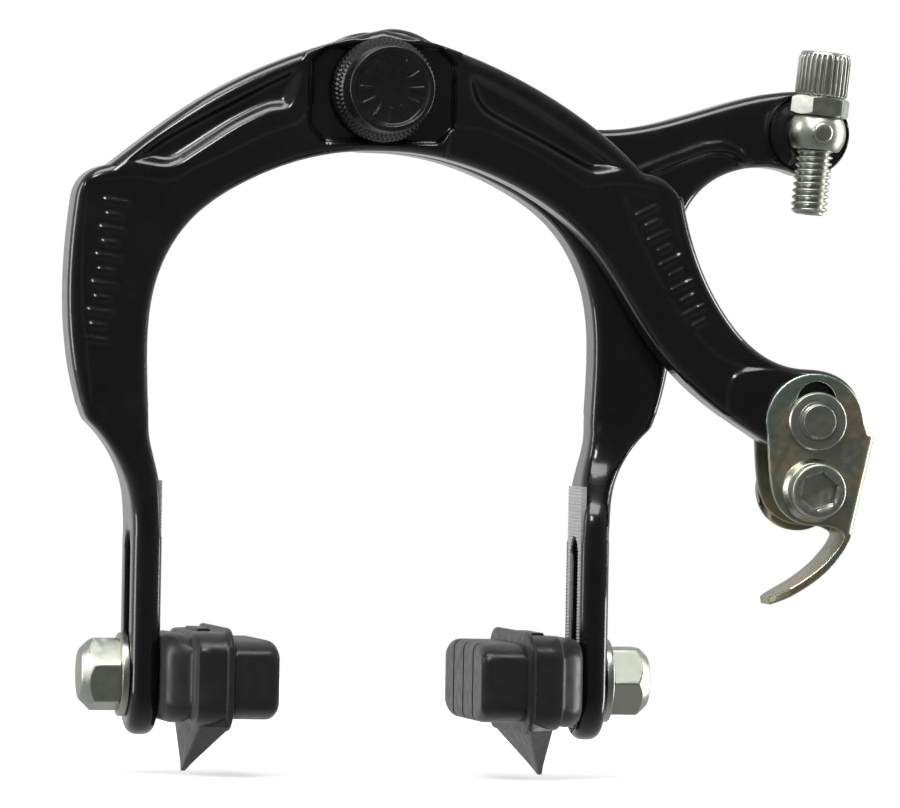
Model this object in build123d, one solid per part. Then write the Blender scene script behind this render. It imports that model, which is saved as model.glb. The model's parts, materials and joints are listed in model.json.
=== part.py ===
"""Side-pull rim brake caliper with two forged arms, shoes on slotted legs and a quick release.

Frame, in millimetres: +Z is up, +Y points back into the fork and +X is the cable side.
The origin is where the centre bolt's axis meets the fork's front face, so the caliper
stands at Y below 0 and the bolt's tail runs along +Y through the fork.
"""

import math
import os

from build123d import *

# ---------------------------------------------------------------- driving dimensions
ARM_THICK = 9.0  # both arms' forged plate
ARM_GAP = 1.0  # between the two arms, filled by a washer
LEG_THICK = 4.5  # the flat slotted legs, across the wheel
LEG_DEPTH = 15.0  # the same legs, along the wheel
LEG_X = 34.35  # middle of each leg from the wheel's plane
LEG_END_Z = -98.3
LEG_EDGE_R = 1.8  # the legs' long edges
SLOT_WIDE = 6.3
SLOT_TOP_Z = -67.5
SLOT_END_Z = -93.5
SHOE_Z = -89.2  # shoe bolt, which is the reach in use
PAD_FACE_X = 15.4  # braking face from the wheel's plane
M6 = 2.8  # thread's middle radius, where a bolt's and a nut's flanks meet
SHANK_R = 3.0  # centre bolt's plain stretch in the fork
JOURNAL = 3.5  # centre bolt where the arms turn on it
PLAY = 0.05  # radial play of a turning fit, and the gap beside a turning face
HEX_AF = 10.0

# ---------------------------------------------------------------- stations along Y
FORK_WASHER = (-1.6, 0.0)
SPRING_SEAT = (-9.2, -1.6)
REAR_WASHER = (-9.95, -9.2)
REAR_ARM = (-10.0 - ARM_THICK, -10.0)
MID_WASHER = (REAR_ARM[0] - ARM_GAP + PLAY, REAR_ARM[0] - PLAY)
FRONT_ARM = (REAR_ARM[0] - ARM_GAP - ARM_THICK, REAR_ARM[0] - ARM_GAP)
PIVOT_FLOOR = FRONT_ARM[0] + 2.0  # floor of the recess round the centre bolt
FRONT_WASHER = (PIVOT_FLOOR - PLAY - 0.8, PIVOT_FLOOR - PLAY)
ADJUST_NUT = (FRONT_WASHER[0] - 3.2, FRONT_WASHER[0])
LOCK_NUT = (ADJUST_NUT[0] - 3.2, ADJUST_NUT[0])
BOLT_FRONT = LOCK_NUT[0] - 1.5
SHANK_END = 20.0
BOLT_TAIL = 34.0
LEG_Y = (FRONT_ARM[0] + REAR_ARM[1]) / 2  # both shoes share this plane
LEG_FRONT, LEG_REAR = LEG_Y - LEG_DEPTH / 2, LEG_Y + LEG_DEPTH / 2
LEG_IN, LEG_OUT = LEG_X - LEG_THICK / 2, LEG_X + LEG_THICK / 2

# ---------------------------------------------------------------- quick release and adjuster
PIN_X, PIN_Z = 67.4, -49.0
ANCHOR_DX, ANCHOR_DZ = -0.3, -10.55
PIN_R = 2.75
TIP_R, TIP_LOW_R = 7.9, 6.7  # front arm's end round the pin, above and below
PIN_SLOT = 3.1  # how far the bracket slides on the pin
WEB_TOP, WEB_LOW = (8.0, -2.0), (4.7, -17.1)  # inner face of the bracket's web, from the pin
SHEET = 1.2
SHEET_GAP = 0.2
BRACKET_FRONT = FRONT_ARM[0] - SHEET_GAP - SHEET
BRACKET_REAR = FRONT_ARM[1] + SHEET_GAP + SHEET
ANCHOR_R = 2.3
CABLE_R = 0.85
CABLE_DX = -5.0  # the inner cable passes this side of the anchor
CLAMP = (BRACKET_REAR, BRACKET_REAR + 2.2)
TRUNNION = (67.9, REAR_ARM[0] - 5.3, -5.0)
TRUNNION_R = 4.4
ADJUSTER_TILT = 5.4  # degrees, top towards +X
BARREL_R = 4.1
PITCH = 1.0

BARREL_Z = (5.55, 12.4)  # the knob, from the trunnion along the screw
SOCKET_R, SOCKET_DEEP = 2.6, 5.5
STEM_R, CREST_R = 2.35, 2.8
THREAD_HOLE_R = 2.95

# ---------------------------------------------------------------- return spring
SPRING_Y = -6.0
SPRING_R = 1.1
SPRING_Z = 4.8  # straight top run, in the seat's groove
SPRING_ROUTE = [(9.3, SPRING_Z), (20.0, -5.2), (32.0, -13.0), (38.4, -22.0), (38.5, -33.0)]

# ---------------------------------------------------------------- shoes, stations along X
PAD_BACK_X = 22.6
FLANGE_X = 23.6
HOLDER_X = 27.6
POST_HEAD = (23.4, 25.2)  # steel plate inside the pad
PAD_LONG, PAD_TALL = 35.0, 12.0
PAD_DROP = 0.2  # the pad's middle below the post
GROOVES_Y = (-8.75, 0.0, 8.75)
GROOVE_WIDE, GROOVE_DEEP = 0.8, 1.6

OUT = "parts"


def save(shape, name):
    """Writes one node, as a compound of its separate solids."""
    solids = shape.solids()
    node = solids[0] if len(solids) == 1 else Compound(children=list(solids))
    export_step(node, os.path.join(OUT, name + ".step"))


def rod(radius, y0, y1, x=0.0, z=0.0):
    """A cylinder along Y from y0 to y1."""
    return Pos(x, (y0 + y1) / 2, z) * Rot(90, 0, 0) * Cylinder(radius, y1 - y0)


def rod_x(radius, x0, x1, y, z):
    """A cylinder along X from x0 to x1."""
    low, high = min(x0, x1), max(x0, x1)
    return Pos((low + high) / 2, y, z) * Rot(0, 90, 0) * Cylinder(radius, high - low)


def block(x0, x1, y0, y1, z0, z1):
    """A box between two corners."""
    centre = Pos((x0 + x1) / 2, (y0 + y1) / 2, (z0 + z1) / 2)
    return centre * Box(abs(x1 - x0), abs(y1 - y0), abs(z1 - z0))


def slab(face_xz, y0, y1):
    """Extrudes a face drawn in the XZ plane from y0 to y1."""
    return extrude(Pos(0, y1, 0) * face_xz, amount=y1 - y0, dir=(0, -1, 0))


def outline(*edges):
    """A face in the XZ plane bounded by the given edges, which are drawn there."""
    return make_face(Wire(list(edges)))


def spline(*points):
    """A smooth edge in the XZ plane through (x, z) points."""
    return Spline(*[(x, 0, z) for x, z in points])


def line(a, b):
    return Line((a[0], 0, a[1]), (b[0], 0, b[1]))


def mirrored(points):
    return [(-x, z) for x, z in points]


def hexagon(across_flats, y0, y1, x=0.0, z=0.0, turn=0.0):
    """A hexagonal prism along Y."""
    flat = RegularPolygon(across_flats / 2, 6, major_radius=False, rotation=turn)
    prism = extrude(flat, (y1 - y0) / 2, both=True)
    return Pos(x, (y0 + y1) / 2, z) * Rot(90, 0, 0) * prism


def turned_nut(across_flats, y0, y1, bore, x=0.0, z=0.0, turn=0.0):
    """A plain nut along Y with chamfered corners on both faces."""
    tall, corner = y1 - y0, across_flats / math.sqrt(3)
    barrel = chamfer(Cylinder(corner, tall).edges().filter_by(GeomType.CIRCLE), corner * 0.09)
    barrel = Pos(x, (y0 + y1) / 2, z) * Rot(90, 0, 0) * barrel
    return (hexagon(across_flats, y0, y1, x, z, turn) & barrel) - rod(bore, y0 - 1, y1 + 1, x, z)


# ---------------------------------------------------------------- arms
# The leg side of both arms: outer edge from leg to shoulder, inner edge from arch to leg.
KNEE = [(-34.7, -50.5), (-44.4, -50.5)]
SIDE_FLANK = [KNEE[1], (-46.6, -42.0), (-47.5, -30.0), (-46.6, -17.6)]
SIDE_INNER = [
    (0.0, -9.25), (-10.2, -10.3), (-20.5, -14.2), (-29.0, -20.4), (-33.6, -28.4), (-35.1, -41.0),
    KNEE[0],
]  # fmt: skip


def leg(side, plate):
    """The slotted leg, and the forged twist that joins it to the plate above."""
    y0, y1 = plate
    front, rear = LEG_FRONT - y0, LEG_REAR - y1
    joint_z, foot_z = SLOT_TOP_Z + 1.0, LEG_END_Z + LEG_DEPTH / 2
    sections = [
        (-50.5, 34.7, 44.4, y0, y1, 1.3),
        (-54.5, 34.25, 40.8, y0 + 0.06 * front, y1 + 0.06 * rear, 1.4),
        (-58.5, 33.1, 38.5, y0 + 0.35 * front, y1 + 0.35 * rear, 1.6),
        (-63.0, LEG_IN + 0.2, 37.0, y0 + 0.88 * front, y1 + 0.88 * rear, LEG_EDGE_R),
        (joint_z, LEG_IN, LEG_OUT, LEG_FRONT, LEG_REAR, LEG_EDGE_R),
    ]
    twist = loft([section(*values) for values in sections])
    edges = [
        Line((0, LEG_REAR, joint_z), (0, LEG_FRONT, joint_z)),
        Line((0, LEG_FRONT, joint_z), (0, LEG_FRONT, foot_z)),
        ThreePointArc((0, LEG_FRONT, foot_z), (0, LEG_Y, LEG_END_Z), (0, LEG_REAR, foot_z)),
        Line((0, LEG_REAR, foot_z), (0, LEG_REAR, joint_z)),
    ]
    flat = extrude(make_face(Wire(edges)), LEG_THICK / 2, both=True)
    round_edges = flat.edges().filter_by(Axis.Y, reverse=True).filter_by(Axis.X, reverse=True)
    flat = fillet(round_edges, LEG_EDGE_R)
    slot_face = Plane.YZ * SlotOverall(SLOT_TOP_Z - SLOT_END_Z, SLOT_WIDE, rotation=90)
    slot = Pos(0, LEG_Y, (SLOT_TOP_Z + SLOT_END_Z) / 2) * extrude(slot_face, LEG_THICK, both=True)
    return on_side(twist + Pos(LEG_X, 0, 0) * (flat - slot), side)


def section(z, x0, x1, y0, y1, radius):
    """A level rectangle with rounded corners."""
    return Pos((x0 + x1) / 2, (y0 + y1) / 2, z) * RectangleRounded(x1 - x0, y1 - y0, radius)


def front_arm():
    """The C-shaped arm: leg on the -X side, over the bolt, and down to the cable anchor."""
    shoulder = [(-46.6, -17.6), (-45.3, -14.1), (-41.3, -12.1)]
    crown_left = [(-41.3, -12.1), (-36.8, -8.5), (-27.8, -2.0), (-14.1, 4.8), (0.0, 9.1)]
    crown_right = [(0.0, 9.1), (10.1, 6.6), (24.0, 0.6), (32.4, -4.7), (40.6, -11.7)]
    lip = [(40.6, -11.7), (44.6, -13.2), (46.7, -15.6)]
    neck = [(46.7, -15.6), (48.9, -24.0), (53.5, -33.0), (58.6, -38.5), (PIN_X - 1.0, PIN_Z + TIP_R)]
    tip_low = (PIN_X - 3.6, PIN_Z - math.sqrt(TIP_LOW_R**2 - 3.6**2))
    under = [tip_low, (56.5, -50.2), (47.8, -43.6), (40.1, -34.1), (32.4, -22.7), (20.5, -14.0),
             (10.2, -10.3), (0.0, -9.25)]  # fmt: skip
    nose = (PIN_X + TIP_R, PIN_Z)
    crest = (PIN_X + TIP_R * math.sin(math.radians(42)), PIN_Z + TIP_R * math.cos(math.radians(42)))
    face = outline(
        spline(*SIDE_FLANK), spline(*shoulder), spline(*crown_left),
        spline(*crown_right), spline(*lip), spline(*neck),
        spline(neck[-1], crest, nose),
        spline(nose, (PIN_X + 5.2, PIN_Z - 5.3), (PIN_X, PIN_Z - TIP_LOW_R), tip_low),
        spline(*under), spline(*SIDE_INNER), line(*KNEE),
    )  # fmt: skip
    arm = slab(face, *FRONT_ARM) + leg(-1, FRONT_ARM)
    recess = block(-10.9, 10.9, FRONT_ARM[0] - 1, PIVOT_FLOOR, -7.9, 6.6)
    arm -= chamfer(recess.edges().filter_by(Axis.Y), 2.4)
    arm -= rod(JOURNAL + PLAY, -40, 0)
    arm -= rod(PIN_R + PLAY, -40, 0, PIN_X, PIN_Z)
    return arm + spring_lug(-1, FRONT_ARM[1])


def spring_lug(side, y_face):
    """The stud on the back of an arm that the return spring's leg presses on."""
    return rod(2.0, y_face - 1.0, -3.6, side * 41.6, -30.0)


def rear_arm():
    """The Y-shaped arm: leg on the +X side and a horn that carries the adjuster."""
    x, _, z = TRUNNION
    end_r = 6.5
    boss = [(0.0, -9.25), (-6.6, -6.4), (-9.1, 0.0), (-6.4, 6.5), (0.0, 9.0)]
    crown = [(0.0, 9.0), (6.0, 9.2), (9.0, 7.8), (14.0, 4.0), (24.0, -1.3), (33.0, -4.9)]
    horn_top = [(33.0, -4.9), (44.8, -3.7), (56.0, -0.3), (x, z + end_r)]
    horn_low = (x - 2.9, z - math.sqrt(end_r**2 - 2.9**2))
    fork = [horn_low, (58.1, -10.5), (52.6, -12.9), (49.0, -17.5), (47.7, -24.0), (47.5, -30.0)]
    flank = [(47.5, -30.0), (46.6, -42.0), (44.4, -50.5)]
    face = outline(
        spline(*boss), spline(*crown), spline(*horn_top),
        ThreePointArc((x, 0, z + end_r), (x + end_r, 0, z), (horn_low[0], 0, horn_low[1])),
        spline(*fork), spline(*flank), line(*mirrored(KNEE)), spline(*mirrored(SIDE_INNER)),
    )  # fmt: skip
    arm = slab(face, *REAR_ARM) + leg(1, REAR_ARM)
    arm -= rod(5.8, REAR_ARM[0] - 1, REAR_ARM[0] + 0.5, x, z)
    arm -= rod(JOURNAL + PLAY, -40, 0)
    arm -= rod(2.5 + PLAY, -40, 0, x, z)
    return arm + spring_lug(1, REAR_ARM[1])


# ---------------------------------------------------------------- centre bolt and stack
def centre_bolt():
    """The pivot bolt: thread for the two nuts, journal, plain shank and the tail's thread."""
    bolt = rod(JOURNAL, FRONT_WASHER[1], 0.0) + rod(M6, BOLT_FRONT, FRONT_WASHER[1] + 0.5)
    bolt += rod(SHANK_R, -0.5, SHANK_END)
    tail = rod(M6, SHANK_END - 0.5, BOLT_TAIL)
    tail = chamfer(tail.edges().filter_by(GeomType.CIRCLE).sort_by(Axis.Y)[-1], 0.6)
    return bolt + tail


def washer(span, outer, inner, x=0.0, z=0.0):
    return rod(outer, *span, x, z) - rod(inner, span[0] - 1, span[1] + 1, x, z)


def fork_washer():
    """Toothed washer that stops the caliper turning on the fork."""
    ring = washer(FORK_WASHER, 7.9, JOURNAL + 0.1)
    teeth = 24
    for i in range(teeth):
        notch = Rot(0, i * 360 / teeth, 0) * block(7.2, 8.4, -2.0, 0.5, -0.4, 0.4)
        ring -= notch
    return ring


def spring_seat():
    """The block that grips the return spring, with a keyed bore on the bolt."""
    y0, y1 = SPRING_SEAT
    flat = outline(
        line((-6.4, 6.8), (6.4, 6.8)), line((6.4, 6.8), (8.8, 1.0)), line((8.8, 1.0), (6.0, -7.2)),
        line((6.0, -7.2), (-6.0, -7.2)), line((-6.0, -7.2), (-8.8, 1.0)), line((-8.8, 1.0), (-6.4, 6.8)),
    )  # fmt: skip
    seat = slab(flat, y0, y1) - rod(JOURNAL + 0.02, y0 - 1, y1 + 1)
    groove = block(-12, 12, SPRING_Y - SPRING_R, SPRING_Y + SPRING_R, SPRING_Z - SPRING_R, 9.0)
    return seat - groove


def return_spring():
    """One bent wire: through the seat, then down behind each arm to its lug."""
    points = [(-x, SPRING_Y, z) for x, z in SPRING_ROUTE[::-1]]
    points += [(x, SPRING_Y, z) for x, z in SPRING_ROUTE]
    path = FilletPolyline(*points, radius=4.0)
    return sweep(Plane(origin=path @ 0, z_dir=path % 0) * Circle(SPRING_R), path=path)


def dust_cap():
    """Plastic cap over the nuts: a ribbed skirt and a raised button."""
    skirt_y, button_y, wall = (-32.4, -29.2), -37.6, 0.75
    cap = rod(8.1, *skirt_y) + rod(6.55, button_y, skirt_y[0] + 0.1)
    cap -= rod(5.85, button_y + wall, skirt_y[1] + 1)
    cap = fillet(cap.edges().filter_by(GeomType.CIRCLE).sort_by(Axis.Y)[0], 0.6)
    ribs = 60
    for i in range(ribs):
        cap -= Rot(0, i * 360 / ribs, 0) * Pos(8.15, -30.8, 0) * Rot(90, 0, 0) * Cylinder(0.22, 4.0)
    return cap


def mounting_hardware():
    """Saddle washer, flat washer and nut on the bolt's tail, behind the fork."""
    saddle = rod(7.0, 22.0, 25.6) - rod(M6 + PLAY, 20, 27) - rod_z(13.0, 0, 11.1)
    flat = washer((25.6, 26.8), 6.2, M6 + PLAY)
    nut = turned_nut(HEX_AF, 26.8, 31.8, M6 + PLAY)
    return saddle, flat, nut


def rod_z(radius, x, y, z0=-20.0, z1=20.0):
    return Pos(x, y, (z0 + z1) / 2) * Cylinder(radius, z1 - z0)


# ---------------------------------------------------------------- shoes
def brake_pad(side):
    """Moulded pad: braking block, parting flange, tapered back and wheel-guide fin."""
    z = SHOE_Z - PAD_DROP
    body = pad_slice(PAD_FACE_X, PAD_BACK_X + 0.4, PAD_LONG, PAD_TALL, 1.4)
    body += pad_slice(PAD_BACK_X, FLANGE_X, PAD_LONG + 3, PAD_TALL + 4, 0)
    body += pad_slice(FLANGE_X, HOLDER_X, PAD_LONG + 1, PAD_TALL + 2.4, 0)
    body += pad_back() + fin()
    groove = block(PAD_FACE_X - 1, PAD_FACE_X + GROOVE_DEEP, -GROOVE_WIDE / 2, GROOVE_WIDE / 2, -9, 9)
    for offset in GROOVES_Y:
        body -= Pos(0, LEG_Y + offset, z) * groove
    body -= rod_x(M6 + 0.02, HOLDER_X - 3, LEG_IN + 1, LEG_Y, SHOE_Z)
    head = Box(POST_HEAD[1] - POST_HEAD[0] + 0.02, 24.04, 8.04)
    body -= Pos(sum(POST_HEAD) / 2 + 0.01, LEG_Y, SHOE_Z) * head
    return on_side(body, side)


def pad_slice(x0, x1, long, tall, radius):
    """One layer of the pad from x0 to x1, with its four edges along X rounded."""
    layer = Box(x1 - x0, long, tall)
    if radius:
        layer = fillet(layer.edges().filter_by(Axis.X), radius)
    return Pos((x0 + x1) / 2, LEG_Y, SHOE_Z - PAD_DROP) * layer


def pad_back():
    """The tapered boss between the pad's body and the leg."""
    z = SHOE_Z - PAD_DROP
    wide = Plane.YZ.offset(HOLDER_X) * Pos(LEG_Y, z) * Rectangle(PAD_LONG + 1, PAD_TALL + 2.4)
    narrow = Plane.YZ.offset(LEG_IN - PLAY) * Pos(LEG_Y, z) * Rectangle(22.0, 13.0)
    return loft([wide, narrow])


def fin():
    """The V-shaped guide under the pad, swept outwards to a point at mid-length."""
    z = SHOE_Z - 6.4
    middle_x, deep = (PAD_BACK_X + HOLDER_X) / 2, HOLDER_X - PAD_BACK_X
    top = Plane.XY.offset(z) * Pos(middle_x, LEG_Y) * Rectangle(deep, PAD_LONG - 1)
    tip = Plane.XY.offset(z - 8.2) * Pos(HOLDER_X + 0.4, LEG_Y) * Rectangle(0.5, 1.0)
    return loft([top, tip])


def on_side(shape, side):
    return shape if side > 0 else mirror(shape, about=Plane.YZ)


def pad_post(side):
    """Threaded post with the steel plate that the pad is moulded round."""
    y, z = LEG_Y, SHOE_Z
    post = block(*POST_HEAD, y - 12, y + 12, z - 4, z + 4)
    post += rod_x(M6, POST_HEAD[1] - 0.5, LEG_OUT + 6.6, y, z)
    return on_side(post, side)


def cap_nut(side):
    """Closed nut with a turned crown, and the washer under it."""
    y, z = LEG_Y, SHOE_Z
    x0 = LEG_OUT + PLAY
    disc = rod_x(6.35, x0, x0 + 1.15, y, z) - rod_x(M6 + PLAY, x0 - 1, x0 + 3, y, z)
    length, corner = 6.1, HEX_AF / math.sqrt(3)
    prism = Rot(0, 90, 0) * extrude(RegularPolygon(HEX_AF / 2, 6, major_radius=False, rotation=9), length)
    shape = Cylinder(corner, length, align=(Align.CENTER, Align.CENTER, Align.MIN))
    shape = chamfer(shape.edges().filter_by(GeomType.CIRCLE).sort_by(Axis.Z)[-1], 2.2, 1.9)
    nut = Pos(x0 + 1.15, y, z) * (prism & (Rot(0, 90, 0) * shape))
    nut -= rod_x(M6 + PLAY, x0, LEG_OUT + 6.8, y, z)
    return on_side(disc, side), on_side(nut, side)


# ---------------------------------------------------------------- quick release
def from_pin(*points):
    return [(PIN_X + x, PIN_Z + z) for x, z in points]


def bracket_cheek():
    """One cheek of the bracket, round the pin at the top and the anchor below."""
    left, crest, right = from_pin((-7.8, -0.4), (-0.2, 7.3), (7.3, 0.4))
    edge = from_pin(WEB_LOW, (2.6, -16.1), (-1.4, -15.8), (-5.2, -13.6), (-6.9, -9.1), (-7.8, -0.4))
    return outline(
        ThreePointArc((left[0], 0, left[1]), (crest[0], 0, crest[1]), (right[0], 0, right[1])),
        line(right, from_pin(WEB_TOP)[0]), line(*from_pin(WEB_TOP, WEB_LOW)), spline(*edge),
    )  # fmt: skip


def release_bracket():
    """U-shaped sheet bracket with slotted cheeks, outer web and finger tab."""
    cheek = bracket_cheek()
    front = slab(cheek, BRACKET_FRONT, BRACKET_FRONT + SHEET)
    rear = slab(cheek, BRACKET_REAR - SHEET, BRACKET_REAR)
    body = front + rear + web() + finger_tab()
    slot = extrude(Plane.XZ * SlotCenterToCenter(PIN_SLOT, 2 * PIN_R + 0.3, rotation=90), 20, both=True)
    body -= Pos(PIN_X, (BRACKET_FRONT + BRACKET_REAR) / 2, PIN_Z + PIN_SLOT / 2) * slot
    return body - rod(ANCHOR_R, -40, -10, PIN_X + ANCHOR_DX, PIN_Z + ANCHOR_DZ)


def web():
    """The bent edge that joins the two cheeks."""
    (x0, z0), (x1, z1) = WEB_TOP, WEB_LOW
    length = math.hypot(x1 - x0, z1 - z0)
    out = ((z0 - z1) / length * SHEET, (x1 - x0) / length * SHEET)
    ring = from_pin((x0, z0), (x0 + out[0], z0 + out[1]), (x1 + out[0], z1 + out[1]), (x1, z1))
    edges = [line(a, b) for a, b in zip(ring, ring[1:] + ring[:1])]
    plate = slab(outline(*edges), BRACKET_FRONT, BRACKET_REAR)
    long_edges = plate.edges().filter_by(lambda e: abs((e @ 0).Y - (e @ 1).Y) < 1e-6 and e.length > 10)
    return fillet(long_edges.sort_by(Axis.X)[-2:], SHEET - 0.05)


def finger_tab():
    """The curled thumb tab below the web, rounded at its end."""
    inner = from_pin(WEB_LOW, (4.3, -18.2), (3.3, -19.7), (1.5, -21.7), (-1.2, -23.9), (-6.6, -26.9))
    outer = from_pin((-6.3, -28.1), (-0.6, -25.0), (2.4, -22.5), (4.5, -19.9), (5.5, -18.2), (5.87, -17.1))
    strip = outline(spline(*inner), line(inner[-1], outer[0]), spline(*outer), line(outer[-1], inner[0]))
    strip = slab(strip, BRACKET_FRONT, BRACKET_REAR - 0.3)
    width, middle = BRACKET_REAR - BRACKET_FRONT, (BRACKET_FRONT + BRACKET_REAR) / 2
    plan = extrude(RectangleRounded(19.8, width + 0.6, 5.2), 10, both=True)
    plan = Pos(PIN_X + 3.0, middle, PIN_Z - 22) * plan
    return strip & plan


def release_pin():
    """Turned pin that the bracket swings and slides on."""
    front, rear = BRACKET_FRONT - PLAY, BRACKET_REAR + PLAY
    pin = rod(PIN_R, front - 0.5, rear + 0.5, PIN_X, PIN_Z)
    pin += rod(4.5, front - 1.5, front, PIN_X, PIN_Z)
    pin += rod(2.5, front - 2.6, front - 1.0, PIN_X, PIN_Z)
    return pin + rod(4.0, rear, rear + 1.4, PIN_X, PIN_Z)


def anchor_bolt():
    """Socket-head bolt that clamps the inner cable at the back of the bracket."""
    x, z = PIN_X + ANCHOR_DX, PIN_Z + ANCHOR_DZ
    y = BRACKET_FRONT - 1.4
    bolt = rod(ANCHOR_R, y - 0.5, BRACKET_REAR + 6.5, x, z) + rod(4.15, y - 3.4, y, x, z)
    return bolt - hexagon(5.0, y - 4, y - 0.9, x, z, turn=10)


def anchor_washer():
    """Dished washer under the anchor bolt's head."""
    x, z = PIN_X + ANCHOR_DX, PIN_Z + ANCHOR_DZ
    y = BRACKET_FRONT
    cone = Pos(x, y - 0.7, z) * Rot(90, 0, 0) * Cone(4.95, 4.3, 1.4)
    return cone - rod(ANCHOR_R + 0.1, y - 3, y + 1, x, z)


def clamp_washer():
    """Large grooved washer that pinches the inner cable against the rear cheek."""
    x, z = PIN_X + ANCHOR_DX, PIN_Z + ANCHOR_DZ
    y0, y1 = CLAMP
    ring = rod(6.3, y0, y1, x, z) - rod(ANCHOR_R, y0 - 1, y1 + 1, x, z)
    cable = x + CABLE_DX
    ring -= rod_z(CABLE_R, cable, y0 + CABLE_R, z - 10, z + 10)
    return ring - block(cable - CABLE_R, cable + CABLE_R, y0 - 1, y0 + CABLE_R, z - 10, z + 10)


def anchor_nut():
    x, z = PIN_X + ANCHOR_DX, PIN_Z + ANCHOR_DZ
    return turned_nut(8.0, CLAMP[1], CLAMP[1] + 4.0, ANCHOR_R, x, z)


# ---------------------------------------------------------------- barrel adjuster
def at_trunnion(shape):
    """Moves a shape drawn round the origin, screw axis along Z, to its place."""
    return Pos(*TRUNNION) * Rot(0, ADJUSTER_TILT, 0) * shape


def trunnion():
    """Ball-headed swivel with the adjuster's threaded hole, and its stem through the horn."""
    ball = Sphere(TRUNNION_R) & Box(20, 20, 5.2)
    ball -= Cylinder(THREAD_HOLE_R, 12)
    stem_end = REAR_ARM[1] - TRUNNION[1] + 1.4
    stem = Pos(0, (3.0 + stem_end) / 2, 0) * Rot(90, 0, 0) * Cylinder(2.5, stem_end - 3.0)
    neck = Pos(0, (3.4 + 5.25) / 2, 0) * Rot(90, 0, 0) * Cylinder(3.4, 5.25 - 3.4)
    shank = (stem + neck) & Box(20, 80, 5.2)
    return at_trunnion(ball + (shank - Cylinder(THREAD_HOLE_R, 12)))


def trunnion_clip():
    """Push-on clip that keeps the trunnion in the horn."""
    x, _, z = TRUNNION
    return washer((REAR_ARM[1] + PLAY, REAR_ARM[1] + 1.0), 4.2, 2.5, x, z)


def adjuster_nut():
    """Thin hexagon lock nut on top of the trunnion."""
    nut = extrude(RegularPolygon(4.0, 6, major_radius=False, rotation=14), 2.9)
    return at_trunnion(Pos(0, 0, 2.6) * nut - Cylinder(THREAD_HOLE_R, 20))


def adjuster_stem():
    """Hollow screw: thread crests as rings, cable hole through."""
    half, first = 0.35, 0.5  # a crest's half width and the first crest's place along the screw
    stem = Cylinder(STEM_R, 17.0, align=(Align.CENTER, Align.CENTER, Align.MIN))
    for i in range(12):
        z = first + i * PITCH
        stem += Pos(0, 0, z) * Cone(STEM_R, CREST_R, half)
        stem += Pos(0, 0, z + half) * Cone(CREST_R, STEM_R, half)
    return at_trunnion(Pos(0, 0, -12.5) * stem - Cylinder(0.95, 60))


def adjuster_barrel():
    """Splined knob with the socket for the cable housing."""
    z0, z1 = BARREL_Z
    knob = Pos(0, 0, z0) * Cylinder(BARREL_R, z1 - z0, align=(Align.CENTER, Align.CENTER, Align.MIN))
    knob = fillet(knob.edges().filter_by(GeomType.CIRCLE).sort_by(Axis.Z)[-1], 0.7)
    flutes = 24
    for i in range(flutes):
        knob -= Rot(0, 0, i * 360 / flutes) * Pos(BARREL_R + 0.15, 0, (z0 + z1) / 2) * Cylinder(0.4, 9)
    knob -= Pos(0, 0, z1 - SOCKET_DEEP / 2 + 1) * Cylinder(SOCKET_R, SOCKET_DEEP + 2)
    return at_trunnion(knob - Cylinder(STEM_R + 0.02, 30))


def main():
    os.makedirs(OUT, exist_ok=True)
    save(front_arm(), "front_arm")
    save(rear_arm(), "rear_arm")
    save(centre_bolt(), "centre_bolt")
    save(fork_washer(), "fork_washer")
    save(spring_seat(), "spring_seat")
    save(return_spring(), "return_spring")
    save(washer(REAR_WASHER, 7.0, JOURNAL + 0.02), "rear_washer")
    save(washer(MID_WASHER, 7.0, JOURNAL + 0.02), "middle_washer")
    save(washer(FRONT_WASHER, 6.2, M6 + 0.02), "front_washer")
    save(turned_nut(HEX_AF, *ADJUST_NUT, M6 + 0.02, turn=5), "adjusting_nut")
    save(turned_nut(HEX_AF, *LOCK_NUT, M6 + 0.02, turn=25), "lock_nut")
    save(dust_cap(), "dust_cap")
    for name, shape in zip(("saddle_washer", "mounting_washer", "mounting_nut"), mounting_hardware()):
        save(shape, name)
    for side, word in ((-1, "left"), (1, "right")):
        save(brake_pad(side), f"{word}_brake_pad")
        save(pad_post(side), f"{word}_pad_post")
        disc, nut = cap_nut(side)
        save(disc, f"{word}_shoe_washer")
        save(nut, f"{word}_cap_nut")
    save(release_bracket(), "release_bracket")
    save(release_pin(), "release_pin")
    save(anchor_bolt(), "anchor_bolt")
    save(anchor_washer(), "anchor_washer")
    save(clamp_washer(), "clamp_washer")
    save(anchor_nut(), "anchor_nut")
    save(trunnion(), "trunnion")
    save(trunnion_clip(), "trunnion_clip")
    save(adjuster_nut(), "adjuster_lock_nut")
    save(adjuster_stem(), "adjuster_stem")
    save(adjuster_barrel(), "adjuster_barrel")


main()
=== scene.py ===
"""Looks of a side-pull rim brake caliper: forged black arms, plated fittings, moulded shoes.

Lengths are in millimetres and become metres where a mesh is made. +Z is up, +Y points back
into the fork, and the origin is where the centre bolt meets the fork.
"""

import json
import math

import bpy
import bmesh
import numpy as np
from mathutils import Matrix, Vector


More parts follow.
